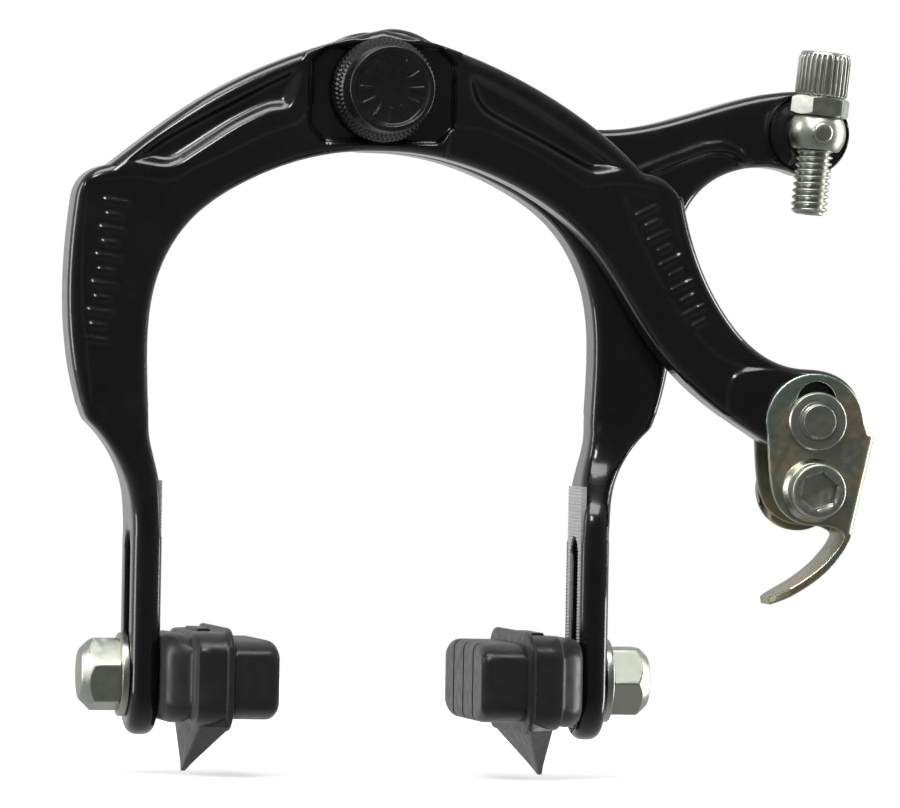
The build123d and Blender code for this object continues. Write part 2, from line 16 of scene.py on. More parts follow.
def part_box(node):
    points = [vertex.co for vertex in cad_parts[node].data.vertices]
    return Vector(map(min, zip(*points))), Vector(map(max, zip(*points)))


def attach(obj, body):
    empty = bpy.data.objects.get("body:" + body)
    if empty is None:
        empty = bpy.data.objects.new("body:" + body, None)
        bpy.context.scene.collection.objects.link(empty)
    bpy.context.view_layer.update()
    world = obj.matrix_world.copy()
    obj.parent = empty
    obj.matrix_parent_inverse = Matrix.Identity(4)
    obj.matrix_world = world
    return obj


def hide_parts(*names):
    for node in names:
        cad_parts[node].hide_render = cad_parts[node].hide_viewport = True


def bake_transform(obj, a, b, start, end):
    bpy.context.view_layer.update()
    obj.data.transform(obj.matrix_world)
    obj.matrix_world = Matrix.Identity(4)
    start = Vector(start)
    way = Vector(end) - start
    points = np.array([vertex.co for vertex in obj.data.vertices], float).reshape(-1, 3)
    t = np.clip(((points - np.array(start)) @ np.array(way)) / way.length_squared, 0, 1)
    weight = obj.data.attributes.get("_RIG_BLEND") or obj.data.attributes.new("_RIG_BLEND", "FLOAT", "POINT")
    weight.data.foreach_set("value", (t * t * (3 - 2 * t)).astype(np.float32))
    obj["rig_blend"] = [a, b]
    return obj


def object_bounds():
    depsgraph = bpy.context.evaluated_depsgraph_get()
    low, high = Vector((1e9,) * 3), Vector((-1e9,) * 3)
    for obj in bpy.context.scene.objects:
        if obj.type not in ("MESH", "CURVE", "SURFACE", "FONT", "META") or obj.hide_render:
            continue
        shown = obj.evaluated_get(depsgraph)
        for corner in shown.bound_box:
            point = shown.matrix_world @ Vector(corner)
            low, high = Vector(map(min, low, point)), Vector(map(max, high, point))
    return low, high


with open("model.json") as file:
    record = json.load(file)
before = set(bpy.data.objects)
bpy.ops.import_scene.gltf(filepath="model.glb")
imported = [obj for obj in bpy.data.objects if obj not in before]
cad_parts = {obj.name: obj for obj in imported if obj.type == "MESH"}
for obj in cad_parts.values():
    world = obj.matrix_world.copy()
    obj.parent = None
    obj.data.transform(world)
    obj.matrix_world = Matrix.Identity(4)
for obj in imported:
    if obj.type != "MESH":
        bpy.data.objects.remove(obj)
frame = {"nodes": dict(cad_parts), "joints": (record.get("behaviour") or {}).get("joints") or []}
cad_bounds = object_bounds()

MM = 0.001
FRONT, BACK = (0, -1, 0), (0, 1, 0)
RIGHT = (1, 0, 0)
ORIGIN = (0, 0, 0)


def box(node):
    """Lowest and highest corner of a CAD node, in millimetres."""
    low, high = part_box(node)
    return np.array(low) / MM, np.array(high) / MM


def middle(node):
    low, high = box(node)
    return (low + high) / 2


def span(node, way=1):
    """A node's lowest and highest value along X, Y or Z, as way is 0, 1 or 2."""
    low, high = box(node)
    return low[way], high[way]


def joint(name):
    return next(j for j in frame["joints"] if j["name"] == name)


def word(side):
    return "left" if side < 0 else "right"


# -------------------- camera, light and floor
TENT = [(0.0, 0.14), (0.08, 0.18), (0.26, 0.33), (0.5, 0.48), (1.0, 0.62)]  # brightness, front to back
LAMPS = [  # name, place and size in metres, watts
    ("top", (-0.05, -0.22, 0.55), (0.55, 0.3), 3.2),
    ("left_side", (-0.68, 0.06, 0.10), (0.25, 0.6), 2.6),
    ("right_side", (0.68, 0.06, 0.0), (0.2, 0.8), 4.5),
    ("high_front", (-0.30, -0.62, 0.50), (0.24, 0.24), 3.0),
]
FLOOR_HALF, FLOOR_THICK, FLOOR_GAP = 0.42, 0.01, 0.0004  # metres
FLOOR_GLOW = 0.62


def camera():
    """The photograph's view: almost level, a little from the left, through a long lens."""
    azimuth, elevation, roll = math.radians(-9.5), math.radians(0.3), math.radians(1.05)
    target, distance = Vector((10.5, -32.0, -47.3)) * MM, 1.5
    back = Vector((math.sin(azimuth) * math.cos(elevation), -math.cos(azimuth) * math.cos(elevation),
                   math.sin(elevation)))
    data = bpy.data.cameras.new("camera")
    data.lens, data.sensor_width, data.clip_start = 397, 36, 0.01
    cam = bpy.data.objects.new("camera", data)
    bpy.context.collection.objects.link(cam)
    look = (-back).to_track_quat("-Z", "Y").to_matrix().to_4x4()
    place = Matrix.Translation(target + back * distance)
    cam.matrix_world = place @ look @ Matrix.Rotation(roll, 4, "Z")
    bpy.context.scene.camera = cam


def area_light(name, at, size, watts):
    """A softbox that faces the middle of the object."""
    data = bpy.data.lights.new(name, "AREA")
    data.shape, data.size, data.size_y, data.energy = "RECTANGLE", size[0], size[1], watts
    lamp = bpy.data.objects.new(name, data)
    lamp.location = at
    aim = Vector((0.01, -0.02, -0.05)) - Vector(at)
    lamp.rotation_euler = aim.to_track_quat("-Z", "Y").to_euler()
    bpy.context.collection.objects.link(lamp)


def studio():
    """A light tent that is open, and so darker, on the camera's side."""
    world = bpy.data.worlds.new("tent")
    bpy.context.scene.world = world
    world.use_nodes = True
    tree = world.node_tree
    tree.nodes.clear()
    new, link = tree.nodes.new, tree.links.new
    coords, split = new("ShaderNodeTexCoord"), new("ShaderNodeSeparateXYZ")
    ramp, background = new("ShaderNodeValToRGB"), new("ShaderNodeBackground")
    output = new("ShaderNodeOutputWorld")
    link(coords.outputs["Generated"], split.inputs[0])
    remap = new("ShaderNodeMapRange")
    set_inputs(remap, {"From Min": -1, "From Max": 1})
    link(split.outputs["Y"], remap.inputs["Value"])
    link(remap.outputs[0], ramp.inputs[0])
    fill_ramp(ramp, [(at, (value, value, value, 1)) for at, value in TENT])
    link(ramp.outputs[0], background.inputs[0])
    seen, path = new("ShaderNodeBackground"), new("ShaderNodeLightPath")
    mix = new("ShaderNodeMixShader")
    seen.inputs[0].default_value = (1, 1, 1, 1)
    link(path.outputs["Is Camera Ray"], mix.inputs[0])
    link(background.outputs[0], mix.inputs[1])
    link(seen.outputs[0], mix.inputs[2])
    link(mix.outputs[0], output.inputs[0])
    for lamp in LAMPS:
        area_light(*lamp)
    bpy.context.scene.view_settings.view_transform = "Standard"
    bpy.context.scene.view_settings.gamma = 0.9


def floor():
    """A pale slab just under the object."""
    mesh = bmesh.new()
    bmesh.ops.create_grid(mesh, x_segments=8, y_segments=8, size=FLOOR_HALF)
    bmesh.ops.solidify(mesh, geom=mesh.faces[:], thickness=-FLOOR_THICK)
    data = bpy.data.meshes.new("floor")
    mesh.to_mesh(data)
    mesh.free()
    slab = bpy.data.objects.new("floor", data)
    top = max(v.co.z for v in data.vertices)
    slab.location = (0, 0, cad_bounds[0][2] - FLOOR_GAP - top)
    bpy.context.collection.objects.link(slab)
    paint = Finish("floor_matt")
    set_inputs(paint.shader, {"Roughness": 0.8, "Specular IOR Level": 0.1,
                              "Emission Color": (1, 1, 1, 1), "Emission Strength": FLOOR_GLOW})
    paint.color(paint.ramp(paint.noise(30, 3), [(0.4, grey(0.55)), (0.6, grey(0.58))]))
    data.materials.append(paint.material)
    slab.visible_glossy = False


# -------------------- materials
def fill_ramp(node, stops):
    ramp = node.color_ramp
    while len(ramp.elements) < len(stops):
        ramp.elements.new(0.5)
    for element, (at, color) in zip(ramp.elements, stops):
        element.position, element.color = at, color


def set_inputs(node, values):
    for name, value in values.items():
        node.inputs[name].default_value = value


class Finish:
    """One procedural material round a Principled shader."""

    def __init__(self, name):
        self.material = bpy.data.materials.new(name)
        self.material.use_nodes = True
        self.tree = self.material.node_tree
        self.shader = self.tree.nodes["Principled BSDF"]
        self.where = self.tree.nodes.new("ShaderNodeTexCoord").outputs["Object"]

    def node(self, kind, values, socket, source):
        """A new node with some inputs set to values and one input fed from source."""
        node = self.tree.nodes.new(kind)
        set_inputs(node, values)
        self.tree.links.new(source, node.inputs[socket])
        return node

    def stretched(self, scale):
        """The object's coordinates, stretched along its axes."""
        return self.node("ShaderNodeMapping", {"Scale": scale}, "Vector", self.where).outputs[0]

    def noise(self, scale, detail=2.0, rough=0.5, where=None):
        """Noise with scale in cells per metre."""
        values = {"Scale": scale, "Detail": detail, "Roughness": rough}
        return self.node("ShaderNodeTexNoise", values, "Vector", where or self.where).outputs["Fac"]

    def rings(self, pitch):
        """Turning marks round the object's Z axis, pitch in metres."""
        values = {"Scale": math.tau / (20 * pitch), "Distortion": 0.12}
        node = self.node("ShaderNodeTexWave", values, "Vector", self.where)
        node.wave_type, node.rings_direction = "RINGS", "Z"
        return node.outputs["Fac"]

    def ramp(self, factor, stops):
        node = self.node("ShaderNodeValToRGB", {}, 0, factor)
        fill_ramp(node, stops)
        return node.outputs[0]

    def between(self, factor, low, high):
        """A number that runs from low to high over the middle of the factor's range."""
        values = {"From Min": 0.35, "From Max": 0.65, "To Min": low, "To Max": high}
        return self.node("ShaderNodeMapRange", values, "Value", factor).outputs[0]

    def color(self, output):
        self.tree.links.new(output, self.shader.inputs["Base Color"])

    def roughness(self, output):
        self.tree.links.new(output, self.shader.inputs["Roughness"])

    def bump(self, *layers):
        """Bump from (height, depth in metres) layers, the first one lowest."""
        normal = None
        for height, depth in layers:
            node = self.node("ShaderNodeBump", {"Distance": depth, "Strength": 1.0}, "Height", height)
            if normal:
                self.tree.links.new(normal, node.inputs["Normal"])
            normal = node.outputs[0]
        self.tree.links.new(normal, self.shader.inputs["Normal"])


def grey(value, tint=(1, 1, 1)):
    return tuple(value * t for t in tint) + (1,)


def gloss_paint():
    """Black stove enamel: deep gloss, faint orange peel, a little duller in patches."""
    paint = Finish("gloss_black_enamel")
    values = {"Coat Weight": 0.8, "Coat Roughness": 0.1, "Specular IOR Level": 0.35}
    set_inputs(paint.shader, values)
    patches = paint.noise(90, 4, 0.6)
    paint.color(paint.ramp(patches, [(0.35, grey(0.0025)), (0.7, grey(0.005, (0.97, 1, 0.97)))]))
    paint.roughness(paint.between(paint.noise(400, 3), 0.2, 0.3))
    paint.bump((paint.noise(700, 2), 5e-6), (paint.noise(2800, 2), 2.2e-6))
    return paint.material


def plating(name, stops, rough, rings=0.0, grain=(2600, 2e-6), patch=170):
    """Plated or plain steel: patchy tint, fine grain and, where asked, turning marks."""
    metal = Finish(name)
    set_inputs(metal.shader, {"Metallic": 1.0})
    metal.color(metal.ramp(metal.noise(patch, 4, 0.62), stops))
    metal.roughness(metal.between(metal.noise(900, 3), *rough))
    layers = [(metal.noise(grain[0], 3, 0.7), grain[1])]
    if rings:
        layers.append((metal.rings(rings), 1.8e-6))
    metal.bump(*layers)
    return metal.material


def moulded(name, dark, light, rough, grain, sheen=0.0):
    """Moulded rubber or plastic: mottled grey black, with grain as (scale, depth) of its texture."""
    rubber = Finish(name)
    set_inputs(rubber.shader, {"Sheen Weight": sheen, "Sheen Roughness": 0.4})
    cloud = rubber.noise(260, 5, 0.65)
    rubber.color(rubber.ramp(cloud, [(0.32, grey(dark)), (0.72, grey(light, (0.97, 1, 0.97)))]))
    rubber.roughness(rubber.between(rubber.noise(600, 3), *rough))
    coarse, fine = rubber.noise(grain[0], 3, 0.6), rubber.noise(grain[0] * 3.5, 2)
    rubber.bump((coarse, grain[1]), (fine, grain[1] * 0.3))
    return rubber.material


def bare_alloy():
    """Machined aluminium: the serrated faces that the shoes' backs bite on."""
    metal = Finish("bare_machined_alloy")
    set_inputs(metal.shader, {"Metallic": 0.6})
    streaks = metal.noise(700, 3, 0.6, metal.stretched((1, 1, 6)))
    metal.color(metal.ramp(streaks, [(0.3, grey(0.50)), (0.7, grey(0.64, (1, 1, 0.98)))]))
    metal.roughness(metal.between(streaks, 0.32, 0.5))
    metal.bump((metal.noise(3000, 2), 2e-6))
    return metal.material


ZINC_STOPS = [
    (0.30, (0.42, 0.45, 0.40, 1)), (0.45, (0.50, 0.51, 0.46, 1)),
    (0.58, (0.47, 0.50, 0.43, 1)), (0.72, (0.55, 0.55, 0.52, 1)),
]
CHROMATE_STOPS = [
    (0.30, (0.36, 0.43, 0.41, 1)), (0.42, (0.48, 0.50, 0.40, 1)), (0.50, (0.58, 0.50, 0.36, 1)),
    (0.57, (0.46, 0.50, 0.38, 1)), (0.64, (0.36, 0.45, 0.39, 1)), (0.74, (0.56, 0.48, 0.48, 1)),
]
STEEL_STOPS = [(0.3, grey(0.60)), (0.7, grey(0.74, (1, 0.99, 0.97)))]
SPRING_STOPS = [(0.3, grey(0.30)), (0.7, grey(0.40, (0.96, 1, 1.06)))]


def make_finishes():
    return {
        "paint": gloss_paint(),
        "zinc": plating("bright_zinc", ZINC_STOPS, (0.3, 0.42), 0.0, (2600, 1.2e-6), 70),
        "turned": plating("turned_zinc", ZINC_STOPS, (0.28, 0.36), 2.4e-4, (2600, 5e-7), 40),
        "chromate": plating("clear_chromate", CHROMATE_STOPS, (0.3, 0.42), 0.0, (3600, 3e-6), 75),
        "steel": plating("plain_steel", STEEL_STOPS, (0.24, 0.4)),
        "spring": plating("blued_spring_steel", SPRING_STOPS, (0.25, 0.4)),
        "alloy": bare_alloy(),
        "rubber": moulded("pad_rubber", 0.010, 0.018, (0.3, 0.42), (2600, 6e-6), 0.1),
        "cap": moulded("cap_plastic", 0.006, 0.011, (0.2, 0.3), (1800, 3e-6)),
    }


# -------------------- mesh tools
def piece(name, mesh, finish, body, nodes=(), at=None):
    """Adds a finished mesh to the scene, on its body, for the CAD nodes that it stands for."""
    thing = bpy.data.objects.new(name, mesh)
    bpy.context.collection.objects.link(thing)
    mesh.materials.clear()
    mesh.materials.append(FINISH[finish])
    if at is not None:
        thing.matrix_world = at
    if body:
        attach(thing, body)
    if nodes:
        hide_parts(*nodes)
    return thing


def weld(mesh, distance):
    """Merges points closer than a distance in metres and turns the faces outwards."""
    loose = bmesh.new()
    loose.from_mesh(mesh)
    bmesh.ops.remove_doubles(loose, verts=loose.verts[:], dist=distance)
    bmesh.ops.recalc_face_normals(loose, faces=loose.faces[:])
    loose.to_mesh(mesh)
    loose.free()


def build(verts, faces, sharp=38.0):
    """A closed, outward-facing mesh from points in millimetres."""
    mesh = bpy.data.meshes.new("shape")
    mesh.from_pydata((np.asarray(verts, float) * MM).tolist(), [], [tuple(map(int, f)) for f in faces])
    weld(mesh, 2e-7)
    mesh.shade_smooth()
    mesh.set_sharp_from_angle(angle=math.radians(sharp))
    return mesh


def stand(origin, axis, across=None):
    """The placing of a shape whose own Z axis lies along axis, with its X axis towards across."""
    z = Vector(axis).normalized()
    x = Vector(across or (RIGHT if abs(z.x) < 0.9 else FRONT))
    x = (x - z * x.dot(z)).normalized()
    y = z.cross(x)
    turn = Matrix((x, y, z)).transposed().to_4x4()
    return Matrix.Translation(Vector(origin) * MM) @ turn


def skin(rings, closed=False):
    """The points of rings of equal length and the quads from each ring to the next."""
    count, size = len(rings), len(rings[0])
    faces = []
    for i in range(count if closed else count - 1):
        a, b = i * size, (i + 1) % count * size
        faces += [(a + j, a + (j + 1) % size, b + (j + 1) % size, b + j) for j in range(size)]
    return np.concatenate(rings), faces


def loft(loops):
    """A skin over closed loops with its two ends closed."""
    verts, faces = skin(loops)
    size, total = len(loops[0]), len(verts)
    return verts, faces + [tuple(range(size)), tuple(range(total - size, total))]


def spin(rows, steps, closed=False):
    """A skin round Z through (radius, height) rows; either may be a function of the angle."""
    angle = np.arange(steps) * math.tau / steps
    rings = []
    for radius, height in rows:
        r = radius(angle) if callable(radius) else np.full(steps, float(radius))
        h = height(angle) if callable(height) else np.full(steps, float(height))
        rings.append(np.stack([r * np.cos(angle), r * np.sin(angle), h], 1))
    return skin(rings, closed)


def rounded(points, closed=False, arc=4):
    """A profile whose (r, h, radius) corners are rounded; a corner without a radius stays."""
    out, count = [], len(points)
    for i, point in enumerate(points):
        here = np.array(point[:2], float)
        radius = point[2] if len(point) > 2 else 0.0
        if not radius or (not closed and i in (0, count - 1)):
            out.append(tuple(here))
            continue
        before, after = (np.array(points[(i + k) % count][:2], float) for k in (-1, 1))
        u, v = (before - here), (after - here)
        lu, lv = np.linalg.norm(u), np.linalg.norm(v)
        u, v = u / lu, v / lv
        half = math.acos(np.clip(u @ v, -1, 1)) / 2
        reach = min(radius / math.tan(half), 0.49 * lu, 0.49 * lv)
        radius = reach * math.tan(half)
        centre = here + (u + v) / np.linalg.norm(u + v) * radius / math.sin(half)
        a, b = here + u * reach - centre, here + v * reach - centre
        sweep = math.acos(np.clip(a @ b / (radius * radius), -1, 1))
        for k in range(arc + 1):
            t = k / arc
            arm = (a * math.sin((1 - t) * sweep) + b * math.sin(t * sweep)) / math.sin(sweep)
            out.append(tuple(centre + arm))
    return out


def spun(name, rows, at, finish, slot, body, nodes=(), steps=48, closed=False, sharp=38.0):
    """A piece from rows spun round Z and placed by at."""
    piece(name, build(*spin(rows, steps, closed), sharp), finish, body, nodes, at)


def turned(name, profile, origin, axis, finish, slot, body, nodes=(), closed=True, steps=96):
    """A turned part: the profile is (distance from the axis, height along it, corner radius)."""
    rows = rounded(profile, closed)
    spun(name, rows, stand(origin, axis), finish, slot, body, nodes, steps, closed)


def hexagon(flats, turn):
    """The radius of a hexagon as a function of the angle; turn is where a flat's middle lies."""
    def radius(angle):
        wrapped = (angle - math.radians(turn) + math.pi / 6) % (math.pi / 3) - math.pi / 6
        return flats / 2 / np.cos(wrapped)
    return radius


def under(shape, limit):
    """The smaller of a shape's radius and a limit."""
    return lambda angle: np.minimum(shape(angle), limit)


NUT = {"steps": 144, "closed": True, "sharp": 25}


def hex_rows(flats, h0, h1, bore, turn=0.0, chamfer=0.55):
    """Rows of a plain nut with cone-chamfered corners and a countersunk bore."""
    shape, corner = hexagon(flats, turn), flats / math.sqrt(3)
    steps = 7
    cone = [(corner - chamfer * (1 - k / steps), chamfer * 0.62 * k / steps) for k in range(steps + 1)]
    low = [(under(shape, r), h0 + h) for r, h in cone]
    high = [(under(shape, r), h1 - h) for r, h in reversed(cone)]
    return [(bore, h0 + 0.35), (bore + 0.35, h0), (flats / 2 - 0.5, h0), *low, *high,
            (flats / 2 - 0.5, h1), (bore + 0.35, h1), (bore, h1 - 0.35)]


def teeth(angle, count):
    """1 at each of count evenly spaced angles, falling straight to 0 halfway between them."""
    return np.abs((angle * count / math.tau) % 1.0 * 2 - 1)


def thread(root, crest, pitch, h0, h1, per_turn=10, start=1.2):
    """Rows of a helical thread that runs out over its first and last stretch."""
    count = int((h1 - h0) / pitch * per_turn)
    rows = []
    for k in range(count + 1):
        h = h0 + (h1 - h0) * k / count
        fade = min(1.0, (h - h0) / start + 0.1, (h1 - h) / start + 0.15)

        def radius(angle, h=h, fade=fade):
            phase = (h / pitch - angle / math.tau) % 1.0
            tooth = np.clip(1.35 * (1 - np.abs(2 * phase - 1)) - 0.12, 0, 1)
            return root + (crest - root) * tooth * fade
        rows.append((radius, h))
    return rows


def evaluated(thing):
    """The thing's mesh with its modifiers applied."""
    graph = bpy.context.evaluated_depsgraph_get()
    return bpy.data.meshes.new_from_object(thing.evaluated_get(graph))


def remeshed(node, voxel, smooth):
    """A CAD node's solid as an even, softly rounded skin."""
    mesh = frame["nodes"][node].data.copy()
    weld(mesh, 1e-6)
    thing = bpy.data.objects.new("scratch", mesh)
    bpy.context.collection.objects.link(thing)
    remesh = thing.modifiers.new("remesh", "REMESH")
    remesh.mode, remesh.voxel_size = "VOXEL", voxel * MM
    soften = thing.modifiers.new("soften", "SMOOTH")
    soften.iterations, soften.factor = smooth, 0.5
    result = evaluated(thing)
    bpy.data.objects.remove(thing)
    for name in list(result.attributes.keys()):
        if name.startswith("sharp") or name == "custom_normal":
            result.attributes.remove(result.attributes[name])
    result.shade_smooth()
    return result


def skinned(name, node, body, finish, voxel, smooth):
    piece(name, remeshed(node, voxel, smooth), finish, body, (node,))


def get_points(mesh):
    co = np.empty(len(mesh.vertices) * 3)
    mesh.vertices.foreach_get("co", co)
    return co.reshape(-1, 3) / MM


def set_points(mesh, points):
    mesh.vertices.foreach_set("co", (points * MM).ravel())
    mesh.update()


# -------------------- flat outlines
def closed_curve(points, fine=7):
    """A smooth closed line through (x, z) points; a third value of 0 keeps a corner sharp."""
    knots = [np.array(p[:2], float) for p in points]
    sharp = [len(p) > 2 for p in points]
    count, out = len(knots), []
    for i in range(count):
        a, b, c, d = (knots[(i + k) % count] for k in (-1, 0, 1, 2))
        tb = (c - b) if sharp[i] else (c - a) / 2
        tc = (c - b) if sharp[(i + 1) % count] else (d - b) / 2
        for k in range(fine):
            t = k / fine
            out.append((2 * t**3 - 3 * t**2 + 1) * b + (t**3 - 2 * t**2 + t) * tb
                       + (3 * t**2 - 2 * t**3) * c + (t**3 - t**2) * tc)
    return np.array(out)


def to_segments(points, a, b):
    """Distance from each point to the nearest segment, and that segment's number."""
    best, which = np.full(len(points), 1e9), np.zeros(len(points), int)
    run = b - a
    length = np.maximum((run**2).sum(1), 1e-12)
    for i in range(len(a)):
        t = np.clip(((points - a[i]) @ run[i]) / length[i], 0, 1)
        d = np.hypot(*(points - a[i] - t[:, None] * run[i]).T)
        nearer = d < best
        best[nearer], which[nearer] = d[nearer], i
    return best, which


def depth_inside(points, loop):
    """How far inside a closed line each point is; negative outside."""
    a, b = loop, np.roll(loop, -1, 0)
    distance, _ = to_segments(points, a, b)
    inside = np.zeros(len(points), bool)
    for (x0, z0), (x1, z1) in zip(a, b):
        crosses = (z0 > points[:, 1]) != (z1 > points[:, 1])
        at = x0 + (points[:, 1] - z0) / (z1 - z0 + 1e-12) * (x1 - x0)
        inside ^= crosses & (points[:, 0] < at)
    return np.where(inside, distance, -distance)


def ease(value):
    """0 below 0, 1 above 1 and smooth between."""
    t = np.clip(value, 0, 1)
    return t * t * (3 - 2 * t)


def face_outline(node, y):
    """The edges of a CAD node's flat face at y: segments and the way into the face."""
    mesh = frame["nodes"][node].data
    points = get_points(mesh)
    seen = {}
    for face in mesh.polygons:
        ids = list(face.vertices)
        if np.abs(points[ids, 1] - y).max() > 0.01:
            continue
        centre = points[ids][:, [0, 2]].mean(0)
        for p, q in zip(ids, ids[1:] + ids[:1]):
            ends = tuple(np.round(points[p][[0, 2]], 3)), tuple(np.round(points[q][[0, 2]], 3))
            seen.setdefault(frozenset(ends), []).append((ends, centre))
    a, b, inward = [], [], []
    for uses in seen.values():
        (p, q), centre = uses[0]
        p, q = np.array(p), np.array(q)
        if len(uses) > 1 or p.tolist() == q.tolist() or stays_sharp((p + q) / 2):
            continue
        normal = np.array([-(q - p)[1], (q - p)[0]])
        normal /= np.linalg.norm(normal)
        a.append(p)
        b.append(q)
        inward.append(normal if normal @ (centre - p) > 0 else -normal)
    return np.array(a), np.array(b), np.array(inward)


def round_edge(points, outline, y, into, radius, mask):
    """Rounds the edge between a flat face at y and the walls round it; into is +1 or -1."""
    a, b, inward = outline
    depth = (points[:, 1] - y) * into
    near = np.flatnonzero(mask & (depth < radius))
    flat = points[near][:, [0, 2]]
    distance, which = to_segments(flat, a, b)
    close = distance < radius
    near, which, d, t = near[close], which[close], distance[close], depth[near[close]]
    side = ((points[near][:, [0, 2]] - a[which]) * inward[which]).sum(1)
    d = np.where(side < 0, -d, d)
    arm = np.stack([d - radius, t - radius], 1)
    scale = np.minimum(1, radius / np.maximum(np.hypot(*arm.T), 1e-9))
    move = arm * (scale - 1)[:, None]
    points[near, 0] += move[:, 0] * inward[which][:, 0]
    points[near, 2] += move[:, 0] * inward[which][:, 1]
    points[near, 1] += move[:, 1] * into


def relax(mesh, times, factor, where=None):
    """Evens a mesh out a little, all over or only where asked."""
    soft = bmesh.new()
    soft.from_mesh(mesh)
    chosen = [v for v in soft.verts if where is None or where(v.co)]
    axes = {"use_axis_x": True, "use_axis_y": True, "use_axis_z": True}
    for _ in range(times):
        bmesh.ops.smooth_vert(soft, verts=chosen, factor=factor, **axes)
    soft.to_mesh(mesh)
    soft.free()


# -------------------- arms
ARM_VOXEL = 0.30
FACE_Y = {"front_arm": -29.0, "rear_arm": -19.0}  # where each arm's front face lies
ARM_THICK = 9.0
EDGE_R, BACK_EDGE_R = 1.45, 1.0
CROWN, CROWN_WIDE = 0.45, 6.5  # how far the face falls away at its edge, and over what width
RELIEF_REACH, RELIEF_FADE = 2.6, 1.6  # how far behind the face its relief still moves points
KNEE_Z = -50.5  # the flat plates end here, where the twist to the legs begins
KNEE_SOFT = (-68.0, -48.5)  # the heights of the twist, which is smoothed more
LEG_FROM = 30.0  # the leg lies beyond this, left or right
HUB_RECESS = (12.2, -8.7, 7.9)  # half width, bottom and top of the front arm's recess
HUB_R = 5.0
SPRING_LUG, LUG_R = (41.6, -30.0), 3.0
PIN_HOLE, PIN_HOLE_R = (67.4, -49.0), 4.0
PANEL_DEEP, PLATE_DEEP, LABEL_DEEP, MARK_HIGH = 1.2, 0.4, 0.3, 0.34
WEB_DEEP, BEAD_HIGH, BEAD_HALF = 0.75, 0.45, 1.1

RIGHT_PANEL = [
    (12.6, 3.3, 0), (13.1, -0.3), (14.3, -2.6), (16.5, -4.4), (23.7, -8.0), (28.0, -10.3),
    (31.2, -11.9), (33.4, -12.3), (38.3, -11.3, 0), (32.2, -6.9), (26.8, -3.4), (21.3, -0.1),
    (17.0, 2.0), (14.8, 3.0),
]
LEFT_PANEL = [
    (-39.4, -11.8, 0), (-36.9, -12.1), (-33.0, -12.6), (-30.8, -12.0), (-28.9, -10.8),
    (-22.4, -6.5), (-17.5, -4.0), (-14.3, -3.2), (-12.9, -0.5), (-11.9, 3.8, 0), (-14.6, 3.1),
    (-24.0, -1.8), (-33.7, -7.3),
]
RIGHT_PLATE = [
    (14.2, -5.2), (16.1, -5.5), (23.7, -8.9), (30.2, -12.9), (32.6, -13.6), (36.2, -13.1),
    (41.0, -13.5), (44.2, -14.4), (45.4, -16.6), (46.4, -21.3), (48.8, -28.2), (52.5, -34.0),
    (57.2, -38.9), (62.5, -41.2, 0), (56.2, -41.9), (54.3, -44.2), (54.0, -50.0), (50.0, -52.0, 0),
    (40.0, -42.0), (30.0, -26.0), (20.0, -17.0), (9.0, -13.0, 0), (10.5, -5.0, 0),
]
LEFT_PLATE = [
    (-45.2, -14.5, 0), (-40.4, -13.8), (-36.9, -13.7), (-33.1, -14.1), (-30.8, -13.4),
    (-28.9, -12.2), (-23.5, -9.6), (-17.4, -6.5), (-13.1, -4.9), (-11.2, -2.6), (-8.0, -2.5, 0),
    (-8.0, -13.5, 0), (-20.0, -17.0), (-30.0, -26.0), (-33.0, -40.0), (-33.0, -56.0, 0),
    (-43.0, -56.0, 0), (-44.4, -44.0), (-45.8, -30.0), (-45.4, -18.0),
]
RIGHT_LABEL = [
    (37.5, -14.6), (44.0, -15.8), (45.9, -21.5), (48.3, -28.6), (52.0, -34.6), (56.6, -39.4),
    (60.0, -41.0, 0), (56.2, -41.3), (52.1, -39.7), (48.4, -36.3), (44.8, -31.8), (41.0, -25.0),
    (37.8, -18.0),
]
HORN_WEB = [
    (40.0, -12.6, 0), (43.2, -11.5), (50.7, -8.5), (53.3, -7.9), (55.6, -8.2), (57.4, -9.2),
    (60.5, -12.5, 0), (58.0, -20.0, 0), (44.0, -34.0, 0), (40.0, -20.0, 0),
]
HORN_BEAD = [(40.6, -11.6), (46.0, -9.4), (51.6, -7.3), (54.3, -7.0), (56.5, -7.8), (58.0, -9.4)]
# Two columns of raised marks: top and bottom ends of each column's middle line.
MARKS = [((40.9, -17.6), (50.3, -36.0)), ((-40.4, -17.8), (-43.2, -39.0))]
MARK_PITCH, MARK_LONG, MARK_R = 2.1, 3.3, 0.45


def marks(flat, top, bottom):
    """A column of raised marks: long and short bars by turns, straight across the column."""
    top, bottom = np.array(top), np.array(bottom)
    along = (bottom - top) / np.linalg.norm(bottom - top)
    across = np.array([-along[1], along[0]])
    height = np.zeros(len(flat))
    for i in range(int(np.linalg.norm(bottom - top) / MARK_PITCH) + 1):
        centre = top + along * MARK_PITCH * i
        half = across * MARK_LONG * (0.3 if i % 2 else 0.5)
        d, _ = to_segments(flat, np.array([centre - half]), np.array([centre + half]))
        height = np.maximum(height, ease((MARK_R - d) / 0.6 + 0.5))
    return height


def front_relief(flat):
    """How much deeper than its plane the front arm's face lies, at (x, z) points."""
    depth = np.zeros(len(flat))
    for panel in (RIGHT_PANEL, LEFT_PANEL):
        inside = depth_inside(flat, closed_curve(panel))
        depth = np.maximum(depth, ease(inside / 1.9) * PANEL_DEEP + 0.35 * ease(inside / 3.5))
    for plate in (RIGHT_PLATE, LEFT_PLATE):
        depth = np.maximum(depth, PLATE_DEEP * ease(depth_inside(flat, closed_curve(plate)) / 0.6))
    depth += LABEL_DEEP * ease(depth_inside(flat, closed_curve(RIGHT_LABEL)))
    for top, bottom in MARKS:
        depth -= MARK_HIGH * marks(flat, top, bottom)
    return depth


